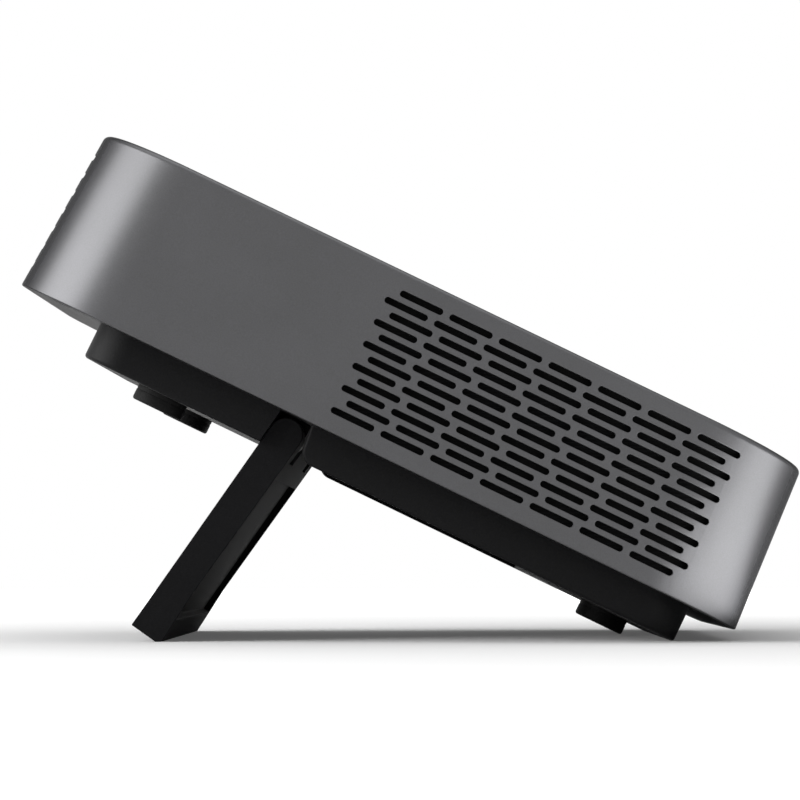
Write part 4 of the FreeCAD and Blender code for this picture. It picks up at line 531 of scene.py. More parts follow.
@dataclass(frozen=True)
class Finish(Surface):
    """A real material and how its surface was made.

    The pattern's size is in millimetres. Colours are sRGB hex values, the second one for
    the pattern's other end.
    """

    name: str
    colour: str
    other_colour: str
    grain: Grain
    grain_mm: float
    roughness: float
    roughness_spread: float = 0.08
    bump: float = 0.1
    metallic: float = 0.0
    ior: float = 1.5
    specular: float = 0.5
    sheen: float = 0.0
    # Tint of the reflections at grazing angles; a grey one paints shade on the silhouettes.
    grazing_shade_tint: str = "#ffffff"
    along: Axis = Axis.X

    def build(self) -> bpy.types.Material:
        """Build the node tree: a fine pattern for the bump, a broad one for the colour.

        Returns:
            The new material.
        """
        graph = Graph(bpy.data.materials.new(self.name))
        place = graph.add("TexCoord").outputs["Object"]
        pattern = self.pattern(graph, place)
        cloud = graph.add("TexNoise", {"Vector": place},
                          {"Scale": 1 / (PATCH_MM * MM), "Detail": 3.0, "Roughness": 0.6})
        blend = graph.add("Mix", {"A": pattern, "B": cloud.outputs["Fac"]}, {"Factor": 0.35},
                          data_type="FLOAT")
        share = graph.add("MapRange", {"Value": blend.outputs["Result"]},
                          {"From Min": 0.3, "From Max": 0.7})
        tint = graph.add("Mix", {"Factor": share.outputs["Result"]},
                         {"A": linear(self.colour), "B": linear(self.other_colour)},
                         data_type="RGBA")
        rough = graph.add("MapRange", {"Value": blend.outputs["Result"]},
                          {"To Min": self.roughness - self.roughness_spread,
                           "To Max": self.roughness + self.roughness_spread})
        relief = graph.add("Bump", {"Height": pattern},
                           {"Strength": self.bump, "Distance": self.grain_mm * 0.4 * MM})
        shader = graph.add("BsdfPrincipled",
                           {"Base Color": tint.outputs["Result"],
                            "Roughness": rough.outputs["Result"],
                            "Normal": relief.outputs["Normal"]},
                           {"Metallic": self.metallic, "IOR": self.ior,
                            "Specular IOR Level": self.specular, "Sheen Weight": self.sheen,
                            "Specular Tint": linear(self.grazing_shade_tint)})
        return graph.close(shader.outputs["BSDF"])

    def pattern(self, graph: Graph, place: bpy.types.NodeSocket) -> bpy.types.NodeSocket:
        """Draw the pattern that the making leaves.

        Args:
            graph: The material's node tree.
            place: The coordinates that the pattern reads.

        Returns:
            A value socket from 0 to 1.
        """
        scale = 1 / (self.grain_mm * MM)
        if self.grain is Grain.BRUSHED:
            stretch = {Axis.X: (0.03, 1, 1), Axis.Y: (1, 0.03, 1), Axis.Z: (1, 1, 0.03)}
            place = graph.add("Mapping", {"Vector": place},
                              {"Rotation": (0, -TILT, 0), "Scale": stretch[self.along]}
                              ).outputs["Vector"]
            return graph.add("TexNoise", {"Vector": place},
                             {"Scale": scale, "Detail": 4.0}).outputs["Fac"]
        if self.grain is Grain.MOULDED:
            # Spark-eroded moulds leave rounded pits beside each other.
            return graph.add("TexVoronoi", {"Vector": place}, {"Scale": scale},
                             feature="SMOOTH_F1").outputs["Distance"]
        if self.grain is Grain.WOVEN:
            threads = [graph.add("TexWave", {"Vector": place}, {"Scale": scale / WAVE_DIVISOR},
                                 bands_direction=way).outputs["Fac"] for way in "YZ"]
            return graph.add("Math", {0: threads[0], 1: threads[1]},
                             operation="MULTIPLY").outputs["Value"]
        detail = {Grain.SPRAYED: 2.0, Grain.CAST: 6.0}[self.grain]
        return graph.add("TexNoise", {"Vector": place},
                         {"Scale": scale, "Detail": detail}).outputs["Fac"]


@dataclass(frozen=True)
class Glass(Surface):
    """Clear glass or plastic, tinted in its body, with a faint coating on its face."""

    name: str
    tint: str
    ior: float = 1.52
    roughness: float = 0.02
    transmission: float = 1.0
    coating: str = "#5a4d8c"
    dust_mm: float = 3.0

    def build(self) -> bpy.types.Material:
        """Build the node tree, with a film of dust that dulls the face in places.

        Returns:
            The new material.
        """
        graph = Graph(bpy.data.materials.new(self.name))
        place = graph.add("TexCoord").outputs["Object"]
        dust = graph.add("TexNoise", {"Vector": place}, {"Scale": 1 / (self.dust_mm * MM),
                                                               "Detail": 4.0})
        rough = graph.add("MapRange", {"Value": dust.outputs["Fac"]},
                          {"From Min": 0.45, "From Max": 0.9, "To Min": self.roughness,
                           "To Max": self.roughness + 0.06})
        facing = graph.add("LayerWeight", values={"Blend": 0.3})
        tint = graph.add("Mix", {"Factor": facing.outputs["Facing"]},
                         {"A": linear(self.tint), "B": linear(self.coating)}, data_type="RGBA")
        shader = graph.add("BsdfPrincipled", {"Base Color": tint.outputs["Result"],
                                              "Roughness": rough.outputs["Result"]},
                           {"IOR": self.ior, "Transmission Weight": self.transmission,
                            "Coat Weight": 0.4, "Coat Roughness": 0.03})
        return graph.close(shader.outputs["BSDF"])


@dataclass(frozen=True)
class SolderMask(Surface):
    """Circuit board: epoxy under a green mask, with copper tracks that show as ridges."""

    name: str = "fr4_board_green_solder_mask"
    mask: str = "#0f4a2a"
    track: str = "#1c6b3f"
    pad: str = "#b9bcbd"
    cell_mm: float = 4.0
    pad_mm: float = 2.54

    def build(self) -> bpy.types.Material:
        """Build the node tree: square cells for the tracks and fine dots for the pads.

        Returns:
            The new material.
        """
        graph = Graph(bpy.data.materials.new(self.name))
        place = graph.add("TexCoord").outputs["Object"]
        level = graph.add("Mapping", {"Vector": place}, {"Rotation": (0, -TILT, 0)})
        cells = graph.add("TexVoronoi", {"Vector": level.outputs["Vector"]},
                          {"Scale": 1 / (self.cell_mm * MM), "Randomness": 0.8},
                          feature="F1", distance="CHEBYCHEV")
        edge = graph.add("MapRange", {"Value": cells.outputs["Distance"]},
                         {"From Min": 0.34, "From Max": 0.4})
        lines = graph.add("Mix", {"Factor": edge.outputs["Result"]},
                          {"A": linear(self.mask), "B": linear(self.track)}, data_type="RGBA")
        dots = graph.add("TexVoronoi", {"Vector": level.outputs["Vector"]},
                         {"Scale": 1 / (self.pad_mm * MM), "Randomness": 0.0})
        spot = graph.add("Math", {0: dots.outputs["Distance"]}, {1: 0.22},
                         operation="LESS_THAN")
        colour = graph.add("Mix", {"Factor": spot.outputs["Value"],
                                   "A": lines.outputs["Result"]},
                           {"B": linear(self.pad)}, data_type="RGBA")
        relief = graph.add("Bump", {"Height": cells.outputs["Distance"]},
                           {"Strength": 0.15, "Distance": 0.1 * MM})
        shader = graph.add("BsdfPrincipled", {"Base Color": colour.outputs["Result"],
                                              "Normal": relief.outputs["Normal"]},
                           {"Roughness": 0.35, "IOR": 1.5})
        return graph.close(shader.outputs["BSDF"])


# Satin metallic lacquer over stamped aluminium: fine flakes that glitter a little and a
# broad soft highlight on the round corners.
# The grey tint of its grazing reflections is painted shade: it darkens the silhouettes, standing in
# for dark surroundings.
SHELL_PAINT = Finish("satin_metallic_lacquer_sprayed", "#545455", "#5c5c5e", Grain.SPRAYED,
                     grain_mm=0.35, roughness=0.37, roughness_spread=0.03, bump=0.03, metallic=0.9,
                     specular=0.3, grazing_shade_tint="#707070")
# Black spark-eroded ABS: a deep black whose fine pits spread the light, so that the plinth
# shows only a faint sheen at its round ends. The pits are drawn coarser than real.
BLACK_ABS = Finish("black_abs_spark_eroded", "#0c0c0d", "#121213", Grain.MOULDED, grain_mm=0.45,
                   roughness=0.5, roughness_spread=0.06, bump=0.25, ior=1.52, specular=0.1)
# The stand's finer moulded ABS: nearly matt, a little greyer than the plinth where light
# falls on its sides. Its pits are drawn coarser than real.
STAND_ABS = Finish("black_abs_fine_moulded", "#161617", "#1c1c1d", Grain.MOULDED, grain_mm=0.3,
                   roughness=0.75, roughness_spread=0.05, bump=0.12, ior=1.52, specular=0.04)
# Satin ABS of the keys and small frames: a soft highlight that picks them out of the paint.
KEY_ABS = Finish("dark_abs_satin_moulded", "#1a1a1c", "#232326", Grain.MOULDED, grain_mm=0.25,
                 roughness=0.4, roughness_spread=0.05, bump=0.08, ior=1.52)
# Matt silicone rubber: a dusty black that catches a soft light on the feet's round sides.
FOOT_RUBBER = Finish("black_silicone_rubber_moulded", "#101010", "#191919", Grain.MOULDED,
                     grain_mm=0.6, roughness=0.6, roughness_spread=0.06, bump=0.2, ior=1.41,
                     specular=0.16)
# Soft grip rubber: matt and dark, so that the focus wheel's ribs read by their shade.
GRIP_RUBBER = Finish("thermoplastic_grip_rubber", "#131314", "#1d1d1e", Grain.MOULDED,
                     grain_mm=0.4, roughness=0.65, roughness_spread=0.05, bump=0.15, ior=1.5)
# Zinc-plated sheet: cool silver with long drawn streaks, coarser than real ones.
ZINC_STEEL = Finish("zinc_plated_sheet_steel", "#b4b6b8", "#9a9da1", Grain.BRUSHED, grain_mm=0.5,
                    roughness=0.32, roughness_spread=0.08, bump=0.05, metallic=1.0)
# Ground bar: bright, with tight highlights drawn out along the bar.
GROUND_STEEL = Finish("ground_bar_steel", "#c3c4c6", "#a4a6a9", Grain.BRUSHED, grain_mm=0.2,
                      roughness=0.22, roughness_spread=0.06, bump=0.05, metallic=1.0, along=Axis.Y)
# Die-cast aluminium: dull grey with a cast skin, drawn coarser than real.
CAST_ALLOY = Finish("die_cast_aluminium", "#8d8f92", "#76787b", Grain.CAST, grain_mm=0.8,
                    roughness=0.48, roughness_spread=0.08, bump=0.3, metallic=1.0)
# Extruded fins: grey metal with fine lines along the way it was drawn.
FIN_ALLOY = Finish("extruded_aluminium_fins", "#7d7f82", "#6a6c70", Grain.BRUSHED, grain_mm=0.3,
                   roughness=0.42, roughness_spread=0.08, bump=0.1, metallic=1.0, along=Axis.Z)
# Black anodised turning: dark metal with a soft sheen, so that the barrel's edge shows.
BLACK_ANODISED = Finish("black_anodised_aluminium_turned", "#17181a", "#202124", Grain.CAST,
                        grain_mm=0.2, roughness=0.36, roughness_spread=0.05, bump=0.05,
                        metallic=0.7)
# Turned brass: warm yellow metal with clean highlights on the insert and the spindle.
BRASS = Finish("turned_free_cutting_brass", "#c9a35a", "#b08a45", Grain.BRUSHED, grain_mm=0.2,
               roughness=0.26, roughness_spread=0.06, bump=0.05, metallic=1.0, along=Axis.Z)
# Copper tube: warm red-brown under clear lacquer, with highlights along the pipe.
COPPER = Finish("drawn_copper_tube_lacquered", "#c47a52", "#a9633f", Grain.BRUSHED, grain_mm=0.4,
                roughness=0.28, roughness_spread=0.08, bump=0.05, metallic=1.0)
# Moulded epoxy: flat charcoal, a little lighter than the black plastics.
CHIP_EPOXY = Finish("moulded_epoxy_chip_bodies", "#19191b", "#222225", Grain.CAST, grain_mm=0.3,
                    roughness=0.6, roughness_spread=0.05, bump=0.2)
# Phosphor in silicone: the flat yellow of a lamp that is off.
PHOSPHOR = Finish("phosphor_filled_silicone", "#d8c74a", "#e6dc86", Grain.CAST, grain_mm=0.5,
                  roughness=0.5, roughness_spread=0.05, bump=0.1, ior=1.41)
# Pressed paper: soft charcoal with fibres that break the light up, coarser than real.
CONE_PAPER = Finish("pressed_paper_cone", "#1d1d1e", "#2a2a2b", Grain.CAST, grain_mm=0.7,
                    roughness=0.8, roughness_spread=0.05, bump=0.5, specular=0.3)
# Polyester mesh, near black: its own dark colour and painted shade of the casing's inside, so that
# the vents read as black slots.
DUST_MESH_AND_SHADE = Finish("black_polyester_dust_mesh_and_painted_shade", "#030303", "#0a0a0b", Grain.WOVEN, grain_mm=0.6,
                   roughness=0.9, roughness_spread=0.04, bump=0.4, specular=0.1)
# Woven cloth: a dark weave with a faint sheen behind the lens end's slots. The threads
# are drawn coarser than real.
SPEAKER_CLOTH = Finish("woven_polyester_speaker_cloth", "#0b0b0c", "#1e1e20", Grain.WOVEN,
                       grain_mm=0.8, roughness=0.85, roughness_spread=0.04, bump=0.6, sheen=0.2)
# Pad-printed ink: thin light grey marks, flat and slightly raised.
MARK_INK = Finish("pad_printed_white_ink", "#b9babc", "#c6c7c9", Grain.CAST, grain_mm=0.3,
                  roughness=0.55, roughness_spread=0.05, bump=0.05)
# Smoked polycarbonate: near-black red that lets a little of the inside through.
SMOKED_PC = Glass("smoked_polycarbonate", "#2a0a10", ior=1.58, roughness=0.05, transmission=0.7,
                  coating="#1a060a")
# Coated lens glass: clear, with a cool tint in its reflections.
LENS_GLASS = Glass("coated_optical_glass", "#dfe6f2", ior=1.6)
# Clear window: faint blue-violet reflections and the lens seen through it.
WINDOW_GLASS = Glass("clear_acrylic_window", "#e9edf2", ior=1.49, coating="#b9c2d8")
# Milky light pipe: a small pale spot that scatters what passes through.
LAMP_PC = Glass("milky_polycarbonate_light_pipe", "#d7e4ef", ior=1.58, roughness=0.3,
                transmission=0.6, coating="#c8d4df")
# Green circuit board with copper lines and pads, drawn coarser than real.
BOARD = SolderMask()


# ---------------------------------------------------------------------------
# Sub-assemblies
# ---------------------------------------------------------------------------


def is_upright(edge: bmesh.types.BMEdge) -> bool:
    """Tell whether an edge climbs more than it runs."""
    a, b = (vertex.co for vertex in edge.verts)
    return abs(a.z - b.z) > 0.7 * (a - b).length


def lies_at(height: float) -> Test:
    """Return a test for edges that lie flat at a height in millimetres."""
    return lambda edge: all(abs(vertex.co.z - height * MM) < 0.01 * MM for vertex in edge.verts)


def runs_along(axis: int, least: float) -> Test:
    """Return a test for edges that run more than some millimetres along an axis."""
    return lambda edge: abs(edge.verts[0].co[axis] - edge.verts[1].co[axis]) > least * MM


def faces_way(way: Point, share: float = 0.99) -> Test:
    """Return a test for faces whose normal points a way."""
    target = Vector(way).normalized()
    return lambda face: face.normal.dot(target) > share


@dataclass
class Casing:
    """Drafted metal shell with its vents, speaker slots and openings."""

    length: float = 220
    width: float = 160
    height: float = 48
    wall: float = 2.0
    roof: float = 2.2
    corner: float = 30
    top_round: float = 1.55
    rim_round: float = 0.55
    lip_round: float = 0.16
    post_spot: Spot = (96, 64)
    post_radius: float = 3.5
    bore_radius: float = 1.25
    slot_length: float = 12.74
    slot_width: float = 1.75
    slot_pitch: float = 14.8
    row_pitch: float = 3.31
    vent_rows: int = 12
    vent_columns: int = 7
    first_slot: float = -12.7
    stagger: float = 3.0
    vent_drop: float = 5.8
    vent_cut: Spot = (-84, 14)
    grille_pitch: float = 5.66
    grille_drop: float = 7.2
    grille_reach: Spot = (25, 57)
    grille_rows: int = 7
    end_cut: Spot = (-112, 12)
    lens_hole: float = 17.8
    wheel_box: tuple[Point, Point] = ((-90.8, -12.17, 45.3), (-82.7, 12.17, 49))
    mouth_box: tuple[Point, Point] = ((-52.5, 72, 2.7), (76.5, 81, 16.4))
    panel_box: tuple[Point, Point] = ((102, -8, 19.5), (111, 50, 35.5))
    key_hole: float = 5.0
    key_cut: Spot = (45, 4)
    lamp_x: float = -27
    screen_gap: Spot = (0.2, 0.7)
    screen_low: float = 3
    screen_box: tuple[Point, Point] = ((-20, -82, 0), (91, -60, 48))
    cloth_starts: Spot = (-58, 24)
    cloth_width: float = 34
    cloth_span: Spot = (4, 42)
    cloth_faces: Spot = (-105.2, -104.9)
    cloth_lean: float = 0.045

    def blank(self, name: str, inset: float, low: float, high: float) -> Workpiece:
        """Shape a block with drafted sides and round corners.

        Args:
            name: The piece's name.
            inset: How far it stays inside the casing's sides, in millimetres.
            low: The level of its underside.
            high: The level of its top.

        Returns:
            The blank.
        """
        half_x = self.length / 2 - inset - low * SLOPE
        half_y = self.width / 2 - inset - low * SLOPE
        piece = Workpiece.block(name, (-half_x, -half_y, low), (half_x, half_y, high))
        draw = (high - low) * SLOPE
        with piece.editing("FACE", faces_way((0, 0, 1))):
            bpy.ops.transform.resize(value=(1 - draw / half_x, 1 - draw / half_y, 1))
        return piece.bevel_edges(is_upright, self.corner - inset, 28)

    def make_shell(self) -> bpy.types.Object:
        """Hollow the blank, add its screw posts and cut every opening.

        Returns:
            The finished shell.
        """
        shell = self.blank("outer_casing", 0, 0, self.height)
        shell.bevel_edges(lies_at(self.height), self.top_round, 8)
        shell.bevel_edges(lies_at(0), self.rim_round, 3)
        shell.cut(self.blank("cavity", self.wall, -1, self.height - self.roof))
        shell.cut(self.four_drums("post", self.post_radius, 2, 46.5, 24), "UNION")
        shell.cut(self.four_drums("bore", self.bore_radius, 1, 13, 16))
        shell.cut(self.openings())
        shell.cut(self.vent_cutter())
        shell.cut(self.grille_cutter())
        shell.bevel_edges(self.is_outer_lip, self.lip_round, 2, clamp=False)
        return shell.finish(SHELL_PAINT, "projector", "shell_paint", "outer_shell", angle=30)

    def four_drums(self, name: str, radius: float, low: float, high: float,
                   sides: int) -> Workpiece:
        """Return four upright drums joined in one, each at the place of a screw post.

        Args:
            name: The piece's name.
            radius: Each drum's radius.
            low: The level of its lower end.
            high: The level of its upper end.
            sides: How many flat sides stand for the curve.

        Returns:
            The drums.
        """
        x, y = self.post_spot
        first = Workpiece.drum(name, (-x, -y, low), radius, high - low, sides=sides)
        return first.repeated(((2 * x, 0, 0), (0, 2 * y, 0), (2 * x, 2 * y, 0)))

    def is_outer_lip(self, edge: bmesh.types.BMEdge) -> bool:
        """Tell whether an edge is a sharp lip of an opening on the casing's outside.

        Args:
            edge: The edge to look at.

        Returns:
            Whether it is on the drafted sides or the top, and sharp.
        """
        middle = (edge.verts[0].co + edge.verts[1].co) / 2 / MM
        draw = middle.z * SLOPE
        over = [max(abs(place) - half + draw + self.corner, 0)
                for place, half in ((middle.x, self.length / 2), (middle.y, self.width / 2))]
        outside = abs(math.hypot(*over) - self.corner) < 0.4 or middle.z > self.height - 0.1
        return outside and edge.is_manifold and edge.calc_face_angle() > math.radians(50)

    def openings(self) -> Workpiece:
        """Shape the openings of the lens, the focus wheel, the keys, the tray and the ports.

        Returns:
            One cutter for them all.
        """
        start, reach = self.end_cut
        lens = Workpiece.drum("lens_cut", (start, 0, LENS_HEIGHT), self.lens_hole, reach,
                              Axis.X, 96)
        wheel = Workpiece.block("wheel_cut", *self.wheel_box)
        mouth = Workpiece.block("mouth_cut", *self.mouth_box)
        ports = Workpiece.block("ports_cut", *self.panel_box)
        low, depth = self.key_cut
        keys = Workpiece.drum("key_cut", (KEY_X, -2 * KEY_PITCH, low), self.key_hole, depth)
        keys.repeated((0, index * KEY_PITCH, 0) for index in range(1, len(Symbol)))
        return lens.join((wheel, mouth, ports, keys))

    def slot_bar(self, low: Point, reach: float, run: Axis) -> Workpiece:
        """Return a bar with round ends, as a slot punch has.

        Args:
            low: The bar's low corner in millimetres.
            reach: How far the punch goes through the wall.
            run: The axis that the slot is long in.

        Returns:
            The punch.
        """
        size = {Axis.X: (self.slot_length, reach, self.slot_width),
                Axis.Y: (reach, self.grille_reach[1] - self.grille_reach[0], self.slot_width)}[run]
        bar = Workpiece.block("punch", low, tuple(a + b for a, b in zip(low, size)))
        across = 1 if run is Axis.X else 0
        return bar.bevel_edges(runs_along(across, reach / 2), self.slot_width / 2 - 0.001, 8)

    def vent_cutter(self) -> Workpiece:
        """Repeat the punch of one vent slot over the staggered rows.

        Returns:
            The cutter of the vented side.
        """
        top = self.height - self.vent_drop - self.slot_width / 2
        start, reach = self.vent_cut
        first = self.slot_bar((self.first_slot, start, top), reach, Axis.X)
        steps = [(column * self.slot_pitch - self.stagger * (row % 2), 0, -row * self.row_pitch)
                 for row in range(self.vent_rows) for column in range(self.vent_columns)]
        return first.repeated(steps[1:])

    def grille_cutter(self) -> Workpiece:
        """Repeat the punch of one speaker slot down both sides of the lens.

        Returns:
            The cutter of the lens end.
        """
        low, high = self.grille_reach
        top = self.height - self.grille_drop - self.slot_width / 2
        start, reach = self.end_cut
        first = self.slot_bar((start, low, top), reach, Axis.Y)
        steps = [(0, shift, -row * self.grille_pitch)
                 for shift in (0, -low - high) for row in range(self.grille_rows)]
        return first.repeated(steps[1:])

    def make_status_lamp(self) -> bpy.types.Object:
        """Make the small light pipe that lies flush in the top behind the keys.

        Returns:
            The finished lamp.
        """
        outline = ((0, -0.6), (0.9, -0.6), (0.9, -0.02), (0.7, 0.06), (0, 0.1))
        lamp = Workpiece.lathe("status_lamp", outline, (self.lamp_x, 0, self.height), steps=24)
        return lamp.finish(LAMP_PC, "projector", "light_source")

    def make_dust_screen(self) -> bpy.types.Object:
        """Make the near-black mesh that lines the near wall behind the vents; its black is the
        mesh's own colour and painted shade of the casing's inside.

        Returns:
            The finished screen.
        """
        low, high = self.screen_low, self.height - self.roof - 0.3
        front, back = self.screen_gap
        screen = self.blank("dust_screen", self.wall + front, low, high)
        screen.cut(self.blank("screen_back", self.wall + back, low - 1, high + 1))
        screen.cut(Workpiece.block("screen_cut", *self.screen_box), "INTERSECT")
        return screen.finish(DUST_MESH_AND_SHADE, "projector", "cone_paper")

    def make_cloth(self) -> list[bpy.types.Object]:
        """Make the dark cloth that backs the speaker slots on both sides.

        Returns:
            The two finished pieces.
        """
        made = []
        (front, back), (low, high) = self.cloth_faces, self.cloth_span
        for side, start in zip(("near", "far"), self.cloth_starts):
            cloth = Workpiece.block(f"speaker_cloth_{side}", (front, start, low),
                                    (back, start + self.cloth_width, high))
            with cloth.editing():
                bpy.ops.mesh.subdivide(number_cuts=6)
            for vertex in cloth.obj.data.vertices:
                vertex.co.x += (vertex.co.z - low * MM) * self.cloth_lean
            made.append(cloth.finish(SPEAKER_CLOTH, "projector", "cone_paper"))
        return made


@dataclass
class Underside:
    """Plinth, its feet and the screws' surroundings."""

    foot_radius: float = 7.5
    foot_height: float = 4.4
    plinth_depth: float = 10.3
    places: dict[str, Spot] = field(default_factory=lambda: {
        "front_foot_near": (-61.6, -45.6),
        "front_foot_far": (-61.6, 45.6),
        "rear_foot": (78, 0),
    })

    def make_base(self, node: bpy.types.Object) -> bpy.types.Object:
        """Make the moulded base from a merged copy of its node.

        Args:
            node: The CAD node of the base.

        Returns:
            The finished base.
        """
        base = Workpiece.copy_of("moulded_base", node)
        return base.finish(BLACK_ABS, "projector", "black_case", "bottom_case", tipped=False,
                           angle=30)

    def make_foot(self, label: str) -> bpy.types.Object:
        """Turn one rubber foot with a soft rim and two grip rings in its sole.

        Args:
            label: The CAD node that it stands for.

        Returns:
            The finished foot.
        """
        radius, drop = self.foot_radius, -self.foot_height
        outline = [(0, drop + 0.5), (2.6, drop + 0.5), (2.9, drop), (4.2, drop), (4.4, drop + 0.4),
                   (5.0, drop + 0.4), (5.2, drop)]
        for step in range(5):
            angle = math.radians(22.5 * step)
            outline.append((radius - 0.7 + 0.7 * math.sin(angle),
                            drop + 0.7 - 0.7 * math.cos(angle)))
        outline += [(radius, -1.5), (radius - 0.12, -1.35), (radius - 0.12, -1.1), (radius, -0.95),
                    (radius, 0), (3, 0), (3, 1.2), (0, 1.2)]
        along, across = self.places[label]
        foot = Workpiece.lathe(f"{label}_rubber", outline, (along, across, -self.plinth_depth),
                               steps=72)
        return foot.finish(FOOT_RUBBER, "projector", "foot_rubber", label, angle=40)


@dataclass
class Stand:
    """Full-width folding stand with its recess and hinge."""

    pivot: Point = (-24.9, 0, -5.5)
    lean: float = 9.2
    width: float = 120
    reach: float = 67
    radius: float = 4.7
    heel: float = 4.8
    toe: float = 3.37
    waist: float = 4.15
    lug_middle: float = 37
    notch: float = 7.55
    cap: float = 2.5
    pin_hole: float = 2.05
    waist_level: float = -50
    rim: float = 1.1
    recess_floor: float = 2.45
    recess_span: Spot = (-58.8, -12)
    cutter_reach: float = 6

    def make_arm(self) -> bpy.types.Object:
        """Extrude the arm's side view, hollow its inner face and round its edges.

        Returns:
            The finished arm.
        """
        facet = (self.heel - self.toe) * math.tan(TILT + math.radians(self.lean))
        turns = [math.radians(angle) for angle in range(0, 181, 12)]
        outline = [(self.radius * math.cos(turn), self.radius * math.sin(turn)) for turn in turns]
        outline += [(-self.radius, -self.reach), (self.toe, -self.reach),
                    (self.heel, facet - self.reach), (self.waist, self.waist_level)]
        half = self.width / 2
        arm = Workpiece.path("folding_arm", [(x, -half, z) for x, z in outline])
        with arm.editing("VERT"):
            bpy.ops.mesh.edge_face_add()
            bpy.ops.mesh.extrude_region_move(
                TRANSFORM_OT_translate={"value": (0, self.width * MM, 0)})
            bpy.ops.mesh.select_all(action="SELECT")
            bpy.ops.mesh.normals_make_consistent(inside=False)
        arm.put_in_order()
        low, high = self.recess_span
        reach = self.cutter_reach
        recess = Workpiece.block("recess_cut", (self.recess_floor, self.rim - half, low),
                                 (reach, half - self.rim, high))
        recess.bevel_edges(runs_along(0, 2), 1.2, 4)
        arm.cut(recess)
        for middle in (-self.lug_middle, self.lug_middle):
            arm.cut(Workpiece.block("notch_cut", (-reach, middle - self.notch, -reach),
                                    (reach, middle + self.notch, reach)))
        arm.cut(Workpiece.drum("pin_cut", (0, self.cap - half, 0), self.pin_hole, self.width,
                               Axis.Y, 32))
        arm.put_in_order()
        arm.soften(0.3, 3, 40)
        arm.obj.rotation_euler = (0, math.radians(self.lean), 0)
        arm.obj.location = metres(self.pivot)
        arm.settle()
        return arm.finish(STAND_ABS, "stand", "black_case", "stand_arm")


